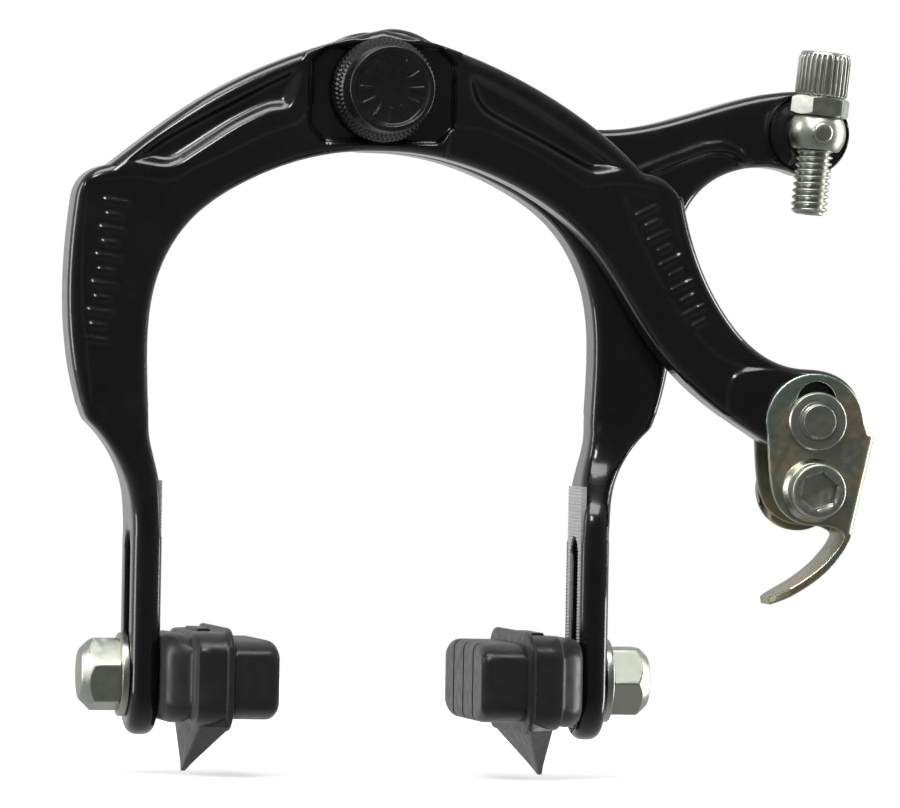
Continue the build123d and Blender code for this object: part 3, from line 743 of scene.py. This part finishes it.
def rear_relief(flat):
    """The same for the rear arm: the web under the horn's bead, and the bead."""
    web = WEB_DEEP * ease(depth_inside(flat, closed_curve(HORN_WEB)) / 0.9)
    line = np.array(HORN_BEAD)
    away, _ = to_segments(flat, line[:-1], line[1:])
    return web - BEAD_HIGH * ease((BEAD_HALF - away) / BEAD_HALF)


def stays_sharp(middle):
    """Whether a piece of outline is not rounded: the knee's cut, the bores and the spring lug."""
    x, z = middle
    knee = abs(z - KNEE_Z) < 0.05 and 34 < abs(x) < 45
    lug = math.hypot(abs(x) - SPRING_LUG[0], z - SPRING_LUG[1]) < LUG_R
    hole = math.hypot(x - PIN_HOLE[0], z - PIN_HOLE[1]) < PIN_HOLE_R
    return knee or lug or hole or math.hypot(x, z) < HUB_R


def emboss(points, front, on_plate, outline, relief, knee_fade):
    """Moves the points near the front face to its relief and lets the face fall away at its edge."""
    near = np.flatnonzero((points[:, 1] < front + RELIEF_REACH) & on_plate)
    flat = points[near][:, [0, 2]]
    fade = ease((front + RELIEF_REACH - points[near, 1]) / RELIEF_FADE)
    keep = ease((points[near, 2] - KNEE_Z + 1.0) / 5.0) if knee_fade else 1.0
    to_edge, _ = to_segments(flat, *outline[:2])
    crown = CROWN * (1 - np.clip(to_edge / CROWN_WIDE, 0, 1)) ** 2
    points[near, 1] += (relief(flat) + crown) * fade * keep


def sink_under_strip(points, side):
    """Sets the leg's inner face back where the serrated strip covers it."""
    covered = np.array([strip_depth(y, z) for _, y, z in points]) > -0.25
    inner = points[:, 0] * side
    covered &= (inner > LEG_IN - 0.5) & (inner < LEG_IN + 0.5)
    points[covered, 0] += 0.45 * side


def forged_arm(name, relief, side):
    """An arm with broad forged edges and the relief of its face; side is its leg's, -1 or 1."""
    front, rear = FACE_Y[name], FACE_Y[name] + ARM_THICK
    mesh = remeshed(name, ARM_VOXEL, 5)
    points = get_points(mesh)
    x, z = points[:, 0], points[:, 2]
    on_plate = (z > KNEE_Z - 0.2) | (x * side <= LEG_FROM)
    half, bottom, top = HUB_RECESS
    recess = (name == "front_arm") & (np.abs(x) < half) & (z > bottom) & (z < top)
    outline = face_outline(name, front)
    round_edge(points, outline, front, 1, EDGE_R, on_plate & ~recess)
    round_edge(points, face_outline(name, rear), rear, -1, BACK_EDGE_R, on_plate)
    emboss(points, front, on_plate, outline, relief, name == "front_arm")
    sink_under_strip(points, side)
    set_points(mesh, points)
    relax(mesh, 2, 0.4)
    relax(mesh, 24, 0.5, lambda co: KNEE_SOFT[0] < co.z / MM < KNEE_SOFT[1])
    mesh.shade_smooth()
    piece(f"{name}_forging", mesh, "paint", name, (name,))


# -------------------- leg serrations
LEG_IN = 32.1  # the leg's inner face, left or right
LEG_Y = -19.5
STRIP_HALF, SLOT_HALF = 5.6, 3.45
STRIP_TOP, STRIP_END = -59.6, -97.0
SLOT_ENDS = (-70.6, -90.4)  # centres of the slot's round ends
FOOT_Z = -91.2  # below this the strip's end is round
TOOTH_PITCH, TOOTH_DEEP = 0.5, 0.12
STRIP_FACE, STRIP_BACK = 0.06, 0.9  # how deep in the leg the strip's crests and back lie


def strip_depth(y, z):
    """How far inside the serrated face a point is, beside and round the slot; negative outside."""
    away = abs(y - LEG_Y)
    beyond = max(z - SLOT_ENDS[0], SLOT_ENDS[1] - z, 0.0)
    foot = max(FOOT_Z - z, 0.0)
    past_slot, to_rim = math.hypot(away, beyond) - SLOT_HALF, STRIP_HALF - math.hypot(away, foot)
    return min(past_slot, to_rim, STRIP_TOP - z)


def serration(side, body):
    """Toothed strip on the leg's inner face, as a thin closed plate let into the leg."""
    ys = np.linspace(LEG_Y - STRIP_HALF, LEG_Y + STRIP_HALF, 31)
    zs = np.arange(STRIP_END, STRIP_TOP + 0.01, TOOTH_PITCH / 4)
    grid, verts = {}, []
    for j, z in enumerate(zs):
        tooth = abs((z / TOOTH_PITCH) % 1.0 - 0.5) * 2
        for i, y in enumerate(ys):
            grid[i, j] = len(verts)
            verts.append((side * (LEG_IN + STRIP_FACE + TOOTH_DEEP * tooth), y, z))
    back = len(verts)
    verts += [(side * (LEG_IN + STRIP_BACK), y, z) for _, y, z in verts]
    cells = [(i, j) for j in range(len(zs) - 1) for i in range(len(ys) - 1)
             if strip_depth((ys[i] + ys[i + 1]) / 2, (zs[j] + zs[j + 1]) / 2) > 0]
    faces, rim = [], {}
    for i, j in cells:
        ring = [grid[i, j], grid[i + 1, j], grid[i + 1, j + 1], grid[i, j + 1]]
        faces += [ring, [back + v for v in reversed(ring)]]
        for a, b in zip(ring, ring[1:] + ring[:1]):
            if not rim.pop((b, a), None):
                rim[a, b] = True
    faces += [(b, a, back + a, back + b) for a, b in rim]
    used = sorted({v for f in faces for v in f})
    index = {v: k for k, v in enumerate(used)}
    mesh = build([verts[v] for v in used], [[index[v] for v in f] for f in faces], 25)
    piece(f"{word(side)}_leg_serration", mesh, "alloy", body)


# -------------------- centre stack
WASHER_TEETH = 24


def centre_stack():
    """The centre bolt and what it carries, apart from the dust cap."""
    front, tail = span("centre_bolt")
    rows = [(0, front), (2.2, front), (2.9, front + 0.6), (2.95, front + 0.7), (2.95, -27.1),
            (3.5, -27.0), (3.5, -0.05), (3.0, 0.0), (3.0, 19.2), (2.72, 19.9)]
    rows += thread(2.5, 2.95, 1.0, 20.0, tail - 0.7)
    rows += [(2.4, tail - 0.3), (2.1, tail), (0, tail)]
    at = stand(ORIGIN, BACK)
    spun("centre_bolt_screw", rows, at, "steel", "bolt_steel", "core", ("centre_bolt",))
    fork_washer()
    skinned("spring_seat_block", "spring_seat", "core", "alloy", 0.2, 5)
    for name, bore in (("rear_washer", 3.52), ("middle_washer", 3.52), ("front_washer", 2.97)):
        flat_washer(name, bore, "steel", "core")
    for name, turn in (("adjusting_nut", 5), ("lock_nut", 25)):
        rows = hex_rows(10, *span(name), 2.96, turn)
        spun(f"{name}_hex", rows, at, "steel", "bolt_steel", "core", (name,), **NUT)


def fork_washer():
    """The washer against the fork, with a ribbed rim and a toothed back."""
    y0, y1 = span("fork_washer")

    def rim(angle):
        return 7.55 + 0.35 * ease(teeth(angle, WASHER_TEETH) * 2.5 - 0.6)

    def bite(angle):
        return y1 - 0.36 + 0.33 * teeth(angle, WASHER_TEETH)

    rows = [(3.6, y0 + 0.2), (3.8, y0), (7.3, y0), (rim, y0 + 0.25), (rim, y1 - 0.5), (7.1, bite),
            (5.4, bite), (5.2, y1 - 0.4), (3.8, y1 - 0.4), (3.6, y1 - 0.55)]
    spun("fork_washer_toothed", rows, stand(ORIGIN, BACK), "zinc", "washer_steel", "core",
         ("fork_washer",), 240, True, 25)


def flat_washer(node, bore, finish, body):
    """A stamped washer with one rolled and one crisp edge, between its node's two faces."""
    low, high = box(node)
    thick, outer = high[1] - low[1], (high[2] - low[2]) / 2
    profile = [(bore, 0, 0.06), (outer, 0, 0.1), (outer, thick, 0.2), (bore, thick, 0.2)]
    centre = (low + high) / 2
    centre[1] = low[1]
    turned(f"{node}_disc", profile, centre, BACK, finish, "washer_steel", body, (node,))


CAP_BUMPS, CAP_BARS = 66, 12


def dust_cap():
    """Plastic cap: two rows of small knurls round a raised button with a dished face."""
    top, back = span("dust_cap")
    tall = back - top
    face = tall - 0.62

    def beads(radius, phase):
        return lambda angle: radius + 0.26 * ease(np.cos(angle * CAP_BUMPS + phase) * 0.9 + 0.35)

    def bars(base):
        """Short raised bars set round the face, like a clock's hours."""
        def height(angle):
            off = np.abs((angle * CAP_BARS / math.tau + 0.5) % 1.0 - 0.5) * math.tau / CAP_BARS * 4.0
            return base + 0.22 * ease((0.42 - off) / 0.16)
        return height

    def dish(radius):
        return face - 0.35 * (1 - (radius / 4.9) ** 2)

    rows = [(5.9, 0.3), (6.1, 0.0), (7.7, 0.0), (7.95, 0.25), (beads(7.62, 0), 0.7),
            (beads(7.66, 0), 1.25), (7.6, 1.55), (7.48, 1.7), (beads(7.2, math.pi), 1.95),
            (beads(7.12, math.pi), 2.35), (6.95, 2.7), (6.72, 3.0), (6.6, 3.3)]
    rows += rounded([(6.6, 3.3), (6.52, tall - 0.05, 0.55), (5.75, tall, 0.3),
                     (5.3, tall - 0.55, 0.35), (5.0, face)], arc=6)[1:]
    rows += [(r, bars(dish(r))) for r in np.linspace(4.7, 2.9, 13)]
    rows += [(r, dish(r)) for r in (2.75, 2.0, 1.0, 0)]
    rows += [(0, tall - 1.5), (5.6, tall - 1.5), (5.87, tall - 1.8)]
    spun("dust_cap_knurled", rows, stand((0, back, 0), FRONT), "cap", "cap_plastic", "core",
         ("dust_cap",), CAP_BUMPS * 6, True, 50)


# -------------------- return spring
SPRING_R, SPRING_SIDES = 1.1, 20
SPRING_BEND, SPRING_TIP = 4.0, 0.5  # corner radius, and how far the domed end stands out
SPRING_FIXED, SPRING_FREE = (12.0, 4.0), (38.4, -28.0)  # (x, z) between which the wire gives
SPRING_ROUTE = [(0.0, 4.8), (9.3, 4.8), (20.0, -5.2), (32.0, -13.0), (38.4, -22.0), (38.5, -33.0)]


def spring_half(side):
    """Half of the wire spring, from the seat out to the lug behind one arm."""
    y = middle("return_spring")[1]
    route = rounded([(*p, SPRING_BEND) for p in SPRING_ROUTE], arc=7)
    path = np.array([(side * x, y, z) for x, z in route])
    tangent = np.gradient(path, axis=0)
    tangent /= np.linalg.norm(tangent, axis=1)[:, None]
    stations = [(path[0], tangent[0], 0.0), (path[0], tangent[0], SPRING_R)]
    stations += [(p, t, SPRING_R) for p, t in zip(path[1:], tangent[1:])]
    end, way = path[-1], tangent[-1]
    dome = np.linspace(0, math.pi / 2, 6)[1:]
    stations += [(end + way * SPRING_TIP * math.sin(a), way, SPRING_R * math.cos(a)) for a in dome]
    rings = []
    for point, way, radius in stations:
        up, back = np.cross(way, BACK), np.array(BACK)
        angles = np.arange(SPRING_SIDES) * math.tau / SPRING_SIDES
        rings.append([point + radius * (np.cos(a) * up + np.sin(a) * back) for a in angles])
    mesh = build(*skin(rings), 50)
    wire = piece(f"{word(side)}_spring_wire", mesh, "spring", None, ("return_spring",))
    arm = "front_arm" if side < 0 else "rear_arm"
    start, end = ((side * x * MM, y * MM, z * MM) for x, z in (SPRING_FIXED, SPRING_FREE))
    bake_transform(wire, "core", arm, start=start, end=end)


# -------------------- shoes
PAD_FACE, PAD_BACK = 15.4, 22.9  # the block's braking face, and its back inside the holder
GROOVES = (-8.75, 0.0, 8.75)
GROOVE_WIDE, GROOVE_DEEP = 0.8, 1.6
PAD_LONG, PAD_TALL = 17.5, 6.0  # half sizes
END_LONG, END_TALL = 6.5, 2.4  # the ends' elliptical corners, along and across
FACE_BEVEL = 1.1
FIN_TOP, FIN_FROM = 6.0, 0.12  # below the pad's middle; the share of the fin above its sweep
FIN_DEEP = 14.3  # from the pad's middle down to the fin's tip
HOLDER_TOP = 8.0  # from the pad's middle up to the top of its CAD


def rounded_rect(half_a, half_b, radius_a, radius_b=None, corner=8, sides=(14, 6)):
    """A rectangle with elliptical corners; every size gives the same number of points."""
    radius_b = radius_a if radius_b is None else radius_b
    out = []
    long, short = sides
    for qa, qb, start, count in ((1, 1, 0, long), (-1, 1, 90, short), (-1, -1, 180, long),
                                 (1, -1, 270, short)):
        for k in range(corner + 1):
            angle = math.radians(start + 90 * k / corner)
            out.append((qa * (half_a - radius_a) + radius_a * math.cos(angle),
                        qb * (half_b - radius_b) + radius_b * math.sin(angle)))
        flat = 2 * ((half_a - radius_a) if count == long else (half_b - radius_b))
        step = np.array([(-1, 0), (0, -1), (1, 0), (0, 1)][start // 90]) * flat / count
        out += [tuple(np.array(out[-1]) + step * k) for k in range(1, count)]
    return np.array(out)


def quarter(into):
    """A quarter circle's drop: 0 until into passes 0, and 1 where it reaches 1."""
    return 1 - math.sqrt(1 - min(max(into, 0.0), 1.0) ** 2)


def pad_block():
    """The braking block: a bar along Y with rounded ends, whose front steps back at each groove."""
    ends = [PAD_LONG - step for step in (0, 0.03, 0.12, 0.3, 0.55, 0.9, 1.4, 2.0, 2.8, 3.8, 5.0, 6.4)]
    stations = [(-y, 0.0) for y in ends]
    for groove in GROOVES:
        lo, hi = groove - GROOVE_WIDE / 2, groove + GROOVE_WIDE / 2
        stations += [(lo - 0.4, 0.0), (lo - 0.05, 0.0), (lo - 0.02, 0.03), (lo, 0.1),
                     (lo + 0.01, GROOVE_DEEP), (hi - 0.01, GROOVE_DEEP), (hi, 0.1),
                     (hi + 0.02, 0.03), (hi + 0.05, 0.0), (hi + 0.4, 0.0)]
    stations += [(y, 0.0) for y in reversed(ends)]
    x0, x1 = PAD_FACE, PAD_BACK
    loops = []
    for y, cut in stations:
        drop = END_TALL * quarter((abs(y) - PAD_LONG + END_LONG) / END_LONG)
        bevel = FACE_BEVEL * quarter((abs(y) - PAD_LONG + FACE_BEVEL) / FACE_BEVEL)
        ring = rounded_rect((x1 - x0) / 2, PAD_TALL - drop, 1.4)
        x = (x0 + x1) / 2 + ring[:, 0]
        x = x + (cut + bevel) * ease((x1 - x) / (x1 - x0) * 1.6)
        loops.append(np.stack([x, np.full(len(x), y), ring[:, 1]], 1))
    return loft(loops)


def pad_holder():
    """Flange, holder and the cushion that meets the leg, as rounded layers along X."""
    stages = [  # x, half length, half height
        (22.35, 17.0, 5.9), (22.5, 18.2, 7.4), (22.62, 18.5, 7.7), (22.9, 18.6, 7.8),
        (23.2, 18.5, 7.7), (23.35, 18.2, 7.4), (23.6, 17.95, 7.2), (24.2, 17.9, 7.15),
        (25.8, 17.9, 7.15), (27.2, 17.85, 7.1), (27.7, 17.6, 6.95), (27.95, 17.1, 6.7),
        (28.05, 16.4, 6.4), (28.1, 15.4, 6.2), (28.2, 14.3, 6.1), (28.45, 13.9, 6.4),
        (29.0, 13.5, 6.65), (29.9, 13.0, 6.75), (30.8, 12.3, 6.7), (31.5, 11.6, 6.5),
        (31.9, 11.0, 6.25), (32.05, 10.3, 5.9),
    ]
    loops = []
    for x, half_y, half_z in stages:
        ring = rounded_rect(half_y, half_z, END_LONG * 0.9, 3.1, 10, (20, 6))
        loops.append(np.stack([np.full(len(ring), x), ring[:, 0], ring[:, 1]], 1))
    return loft(loops)


def pad_fin():
    """The plough-shaped guide: a wedge whose inner face sweeps out to a point at the bottom."""
    loops = []
    for s in np.linspace(0, 1, 33):
        z = -FIN_TOP - (FIN_DEEP - FIN_TOP) * s
        sweep = max(0.0, s - FIN_FROM) / (1 - FIN_FROM)
        x_in = 22.7 + 4.5 * sweep
        x_out = max(27.0 + 0.8 * s, x_in + 0.45)
        half_y, half_x = 17.3 * (1 - sweep) + 0.4, (x_out - x_in) / 2
        ring = rounded_rect(half_y, half_x, min(1.6, half_y * 0.45), min(0.35, half_x * 0.45))
        narrow = 1 - 0.22 * (ring[:, 1] + half_x) / (2 * half_x)
        x = x_in + half_x + ring[:, 1]
        loops.append(np.stack([x, ring[:, 0] * narrow, np.full(len(ring), z)], 1))
    return loft(loops)


def pad_nub():
    """Raised strip that the mould leaves on top of the holder."""
    rings = [(7.0, 0.95, 6.6), (7.0, 0.95, 7.4), (6.85, 0.8, 7.52)]
    loops = []
    for half_y, half_x, z in rings:
        ring = rounded_rect(half_y, half_x, 0.3, 0.3, 3, (12, 2))
        loops.append(np.stack([25.6 + ring[:, 1], ring[:, 0], np.full(len(ring), z)], 1))
    return loft(loops)


def shoe(side):
    """A whole brake shoe: block, holder and fin in moulded rubber."""
    name = word(side)
    z = span(f"{name}_brake_pad", 2)[1] - HOLDER_TOP
    whole = bmesh.new()
    for verts, faces in (pad_block(), pad_holder(), pad_fin(), pad_nub()):
        verts = verts * (side, 1, 1) + (0, LEG_Y, z)
        whole.from_mesh(build(verts, faces, 32))
    mesh = bpy.data.meshes.new("shoe")
    whole.to_mesh(mesh)
    whole.free()
    mesh.set_sharp_from_angle(angle=math.radians(32))
    piece(f"{name}_shoe_moulding", mesh, "rubber", f"{name}_shoe", (f"{name}_brake_pad",))


def from_middle(node):
    """A node's nearest and farthest distance from the middle, left or right."""
    return sorted(abs(x) for x in span(node, 0))


def shoe_hardware(side):
    """Threaded post, washer and closed nut."""
    name, axis = word(side), (side, 0, 0)
    centre = (0, LEG_Y, middle(f"{name}_pad_post")[2])
    inner, outer = from_middle(f"{name}_pad_post")
    rows = [(0, inner), (3.9, inner), (4.0, inner + 0.15), (4.0, inner + 1.6), (3.9, inner + 1.75),
            (2.5, inner + 1.8)]
    rows += thread(2.48, 2.93, 1.0, inner + 1.9, outer - 0.5)
    rows += [(2.3, outer - 0.2), (2.0, outer), (0, outer)]
    spun(f"{name}_post_screw", rows, stand(centre, axis), "steel", "post_steel", f"{name}_shoe",
         (f"{name}_pad_post",))
    inner, outer = from_middle(f"{name}_shoe_washer")
    profile = [(3.1, inner, 0.1), (6.35, inner, 0.12), (6.35, outer, 0.3), (3.1, outer, 0.1)]
    turned(f"{name}_shoe_washer_disc", profile, centre, axis, "turned", "washer_steel",
           f"{name}_clamp", (f"{name}_shoe_washer",))
    rows = closed_nut_rows(*from_middle(f"{name}_cap_nut"), -15.0 if side < 0 else -27.0)
    spun(f"{name}_cap_nut_closed", rows, stand(centre, axis, FRONT), "zinc", "nut_zinc",
         f"{name}_clamp", (f"{name}_cap_nut",), 180, True, 24)


def closed_nut_rows(start, end, turn):
    """Rows of a hexagonal nut with a low crown and a blind bore."""
    shape, corner = hexagon(10, turn), 10 / math.sqrt(3)
    rows = [(3.05, start + 0.4), (3.4, start), (4.6, start)]
    rows += [(under(shape, corner - 0.35 * (1 - k / 4)), start + 0.3 * k / 4) for k in range(5)]
    crown = rounded([(corner + 0.05, end - 2.25), (3.75, end - 0.12, 0.9), (0, end)], arc=10)
    for (r0, h0), (r1, h1) in zip(crown, crown[1:]):
        rows += [(under(shape, r0 + (r1 - r0) * k / 12), h0 + (h1 - h0) * k / 12) for k in range(12)]
    return rows + [(0, end), (0, end - 1.1), (3.05, end - 1.1)]


# -------------------- quick release
def release():
    """The quick release: bent bracket, the pin it slides and swings on, and the cable's anchor."""
    skinned("release_bracket_sheet", "release_bracket", "release_lever", "chromate",
            0.17, 3)
    x, _, z = middle("release_pin")
    head, tail = span("release_pin")
    long = tail - head
    profile = [(0, 0, 0), (1.0, 0.04, 0), (2.2, 0.02, 0.1), (2.5, 0.0, 0.2), (2.55, 1.15, 0.15),
               (2.9, 1.2, 0.1), (3.1, 1.08, 0.1), (3.35, 1.1, 0.1), (4.25, 1.2, 0.15),
               (4.5, 1.55, 0.15), (4.5, 2.5, 0.12), (2.75, 2.6, 0.1), (2.75, long - 1.4, 0.1),
               (4.0, long - 1.4, 0.15), (4.0, long - 0.5, 0.4), (3.2, long, 0.3), (0.7, long, 0.1),
               (0, long - 0.3)]
    turned("release_pin_turned", profile, (x, head, z), BACK, "turned", "pin_steel", "release_pin",
           ("release_pin",), False, 128)
    anchor()


def anchor():
    """Cable anchor: socket-head bolt, dished washer, grooved clamp washer and nut."""
    x, _, z = middle("clamp_washer")
    top, tail = span("anchor_bolt")
    long, head, socket = tail - top, 3.4, hexagon(5.0, 10)
    rows = [(0, 2.9), (0.9, 2.75), (lambda a: socket(a) * 0.97, 2.45), (socket, 2.3), (socket, 0.35),
            (lambda a: socket(a) * 1.02 + 0.02, 0.2), (2.98, 0.05), (3.3, 0.0)]
    rim = [(3.3, 0.0), (4.15, 0.0, 0.45), (4.15, head, 0.15), (2.3, head + 0.02)]
    rows += rounded(rim, arc=5)[1:]
    rows += [(2.3, long - 9.0)] + thread(1.95, 2.3, 0.8, long - 8.9, long - 0.4)
    rows += [(1.7, long), (0, long)]
    spun("anchor_bolt_socket", rows, stand((x, top, z), BACK), "zinc", "bolt_steel", "release_lever",
         ("anchor_bolt",), 120, False, 30)
    y0, y1 = span("anchor_washer")
    thick = y1 - y0
    profile = [(2.4, 0, 0.08), (4.2, 0, 0.25), (4.85, thick - 0.35, 0.3), (4.95, thick, 0.08),
               (2.4, thick, 0.08)]
    turned("anchor_washer_dished", profile, (x, y0, z), BACK, "turned", "washer_steel",
           "release_lever", ("anchor_washer",), steps=120)
    skinned("clamp_washer_grooved", "clamp_washer", "release_lever", "chromate",
            0.14, 3)
    y0, y1 = span("anchor_nut")
    rows = hex_rows(8, 0, y1 - y0, 2.31)
    spun("anchor_nut_hex", rows, stand((x, y0, z), BACK), "zinc", "nut_zinc", "release_lever",
         ("anchor_nut",), **NUT)


# -------------------- adjuster
def adjuster():
    """Trunnion, lock nut, hollow screw and knurled barrel on one slightly tilted axis."""
    axis = joint("adjuster_rise")["axis"]
    x, _, z = np.array(joint("trunnion_swivel")["pos_m"]) / MM
    at = stand((x, middle("adjuster_barrel")[1], z), axis, RIGHT)
    skinned("trunnion_ball", "trunnion", "trunnion", "zinc", 0.13, 5)
    rivet = [(0, 0.34), (0.5, 0.36), (1.2, 0.32), (1.45, 0.2), (1.55, 0.0), (1.6, -0.7), (0, -0.7)]
    front = span("trunnion")[0]
    spun("trunnion_rivet", rivet, stand((x, front, z), FRONT), "turned", "trunnion_black", "trunnion")
    y0, y1 = span("trunnion_clip")
    thick = y1 - y0
    profile = [(2.5, 0, 0.1), (4.2, 0, 0.2), (4.2, thick, 0.25), (3.2, thick, 0.1),
               (2.5, thick - 0.3, 0.1)]
    turned("trunnion_clip_ring", profile, (x, y0, z), BACK, "spring", "spring_steel", "trunnion",
           ("trunnion_clip",))
    rows = hex_rows(8, 2.6, 5.5, 2.93, 34.5, 0.6)
    spun("adjuster_lock_nut_hex", rows, at, "zinc", "nut_zinc", "trunnion",
         ("adjuster_lock_nut",), **NUT)
    rows = [(0.95, 6.8), (2.2, 6.8), (2.33, 6.6), (2.33, 4.2)]
    rows += reversed(thread(2.25, 2.8, 1.0, -12.3, 4.1, 12, 0.5))
    rows += [(2.0, -12.5), (0.95, -12.5)]
    spun("adjuster_stem_screw", rows, at, "zinc", "adjuster_steel", "adjuster_stem",
         ("adjuster_stem",), 60, True, 50)
    barrel(at)


BARREL_TEETH = 30


def barrel(at):
    """The adjuster's straight-knurled knob with its housing socket."""
    def knurl(radius, deep):
        return lambda angle: radius - deep * ease(1.15 - 1.5 * teeth(angle, BARREL_TEETH))

    rows = [(2.37, 5.6), (2.6, 5.55), (3.45, 5.55), (3.62, 5.62)]
    ribs = [(3.78, 0.1, 5.75), (4.0, 0.3, 5.95), (4.1, 0.42, 6.2), (4.1, 0.42, 11.1),
            (4.04, 0.38, 11.45), (3.9, 0.26, 11.75)]
    rows += [(knurl(radius, deep), height) for radius, deep, height in ribs]
    rows += rounded([(3.8, 11.95), (3.62, 12.3, 0.2), (2.9, 12.4, 0.15), (2.62, 12.2, 0.1),
                     (2.6, 6.9, 0.1), (2.37, 6.85)], arc=3)
    spun("adjuster_barrel_knurled", rows, at, "zinc", "adjuster_steel", "adjuster_barrel",
         ("adjuster_barrel",), BARREL_TEETH * 10, True, 40)


# -------------------- behind the fork
def mounting():
    """What holds the caliper on the fork: saddle washer, washer and nut."""
    skinned("saddle_washer_cast", "saddle_washer", "mounting_hardware", "alloy", 0.17, 4)
    flat_washer("mounting_washer", 3.0, "turned", "mounting_hardware")
    y0, y1 = span("mounting_nut")
    rows = hex_rows(10, 0, y1 - y0, 2.97, chamfer=0.7)
    spun("mounting_nut_hex", rows, stand((0, y0, 0), BACK), "zinc", "nut_zinc", "mounting_hardware",
         ("mounting_nut",), **NUT)


FINISH = make_finishes()
camera()
studio()
floor()
forged_arm("front_arm", front_relief, -1)
forged_arm("rear_arm", rear_relief, 1)
serration(-1, "front_arm")
serration(1, "rear_arm")
centre_stack()
dust_cap()
for half in (-1, 1):
    spring_half(half)
    shoe(half)
    shoe_hardware(half)
release()
adjuster()
mounting()
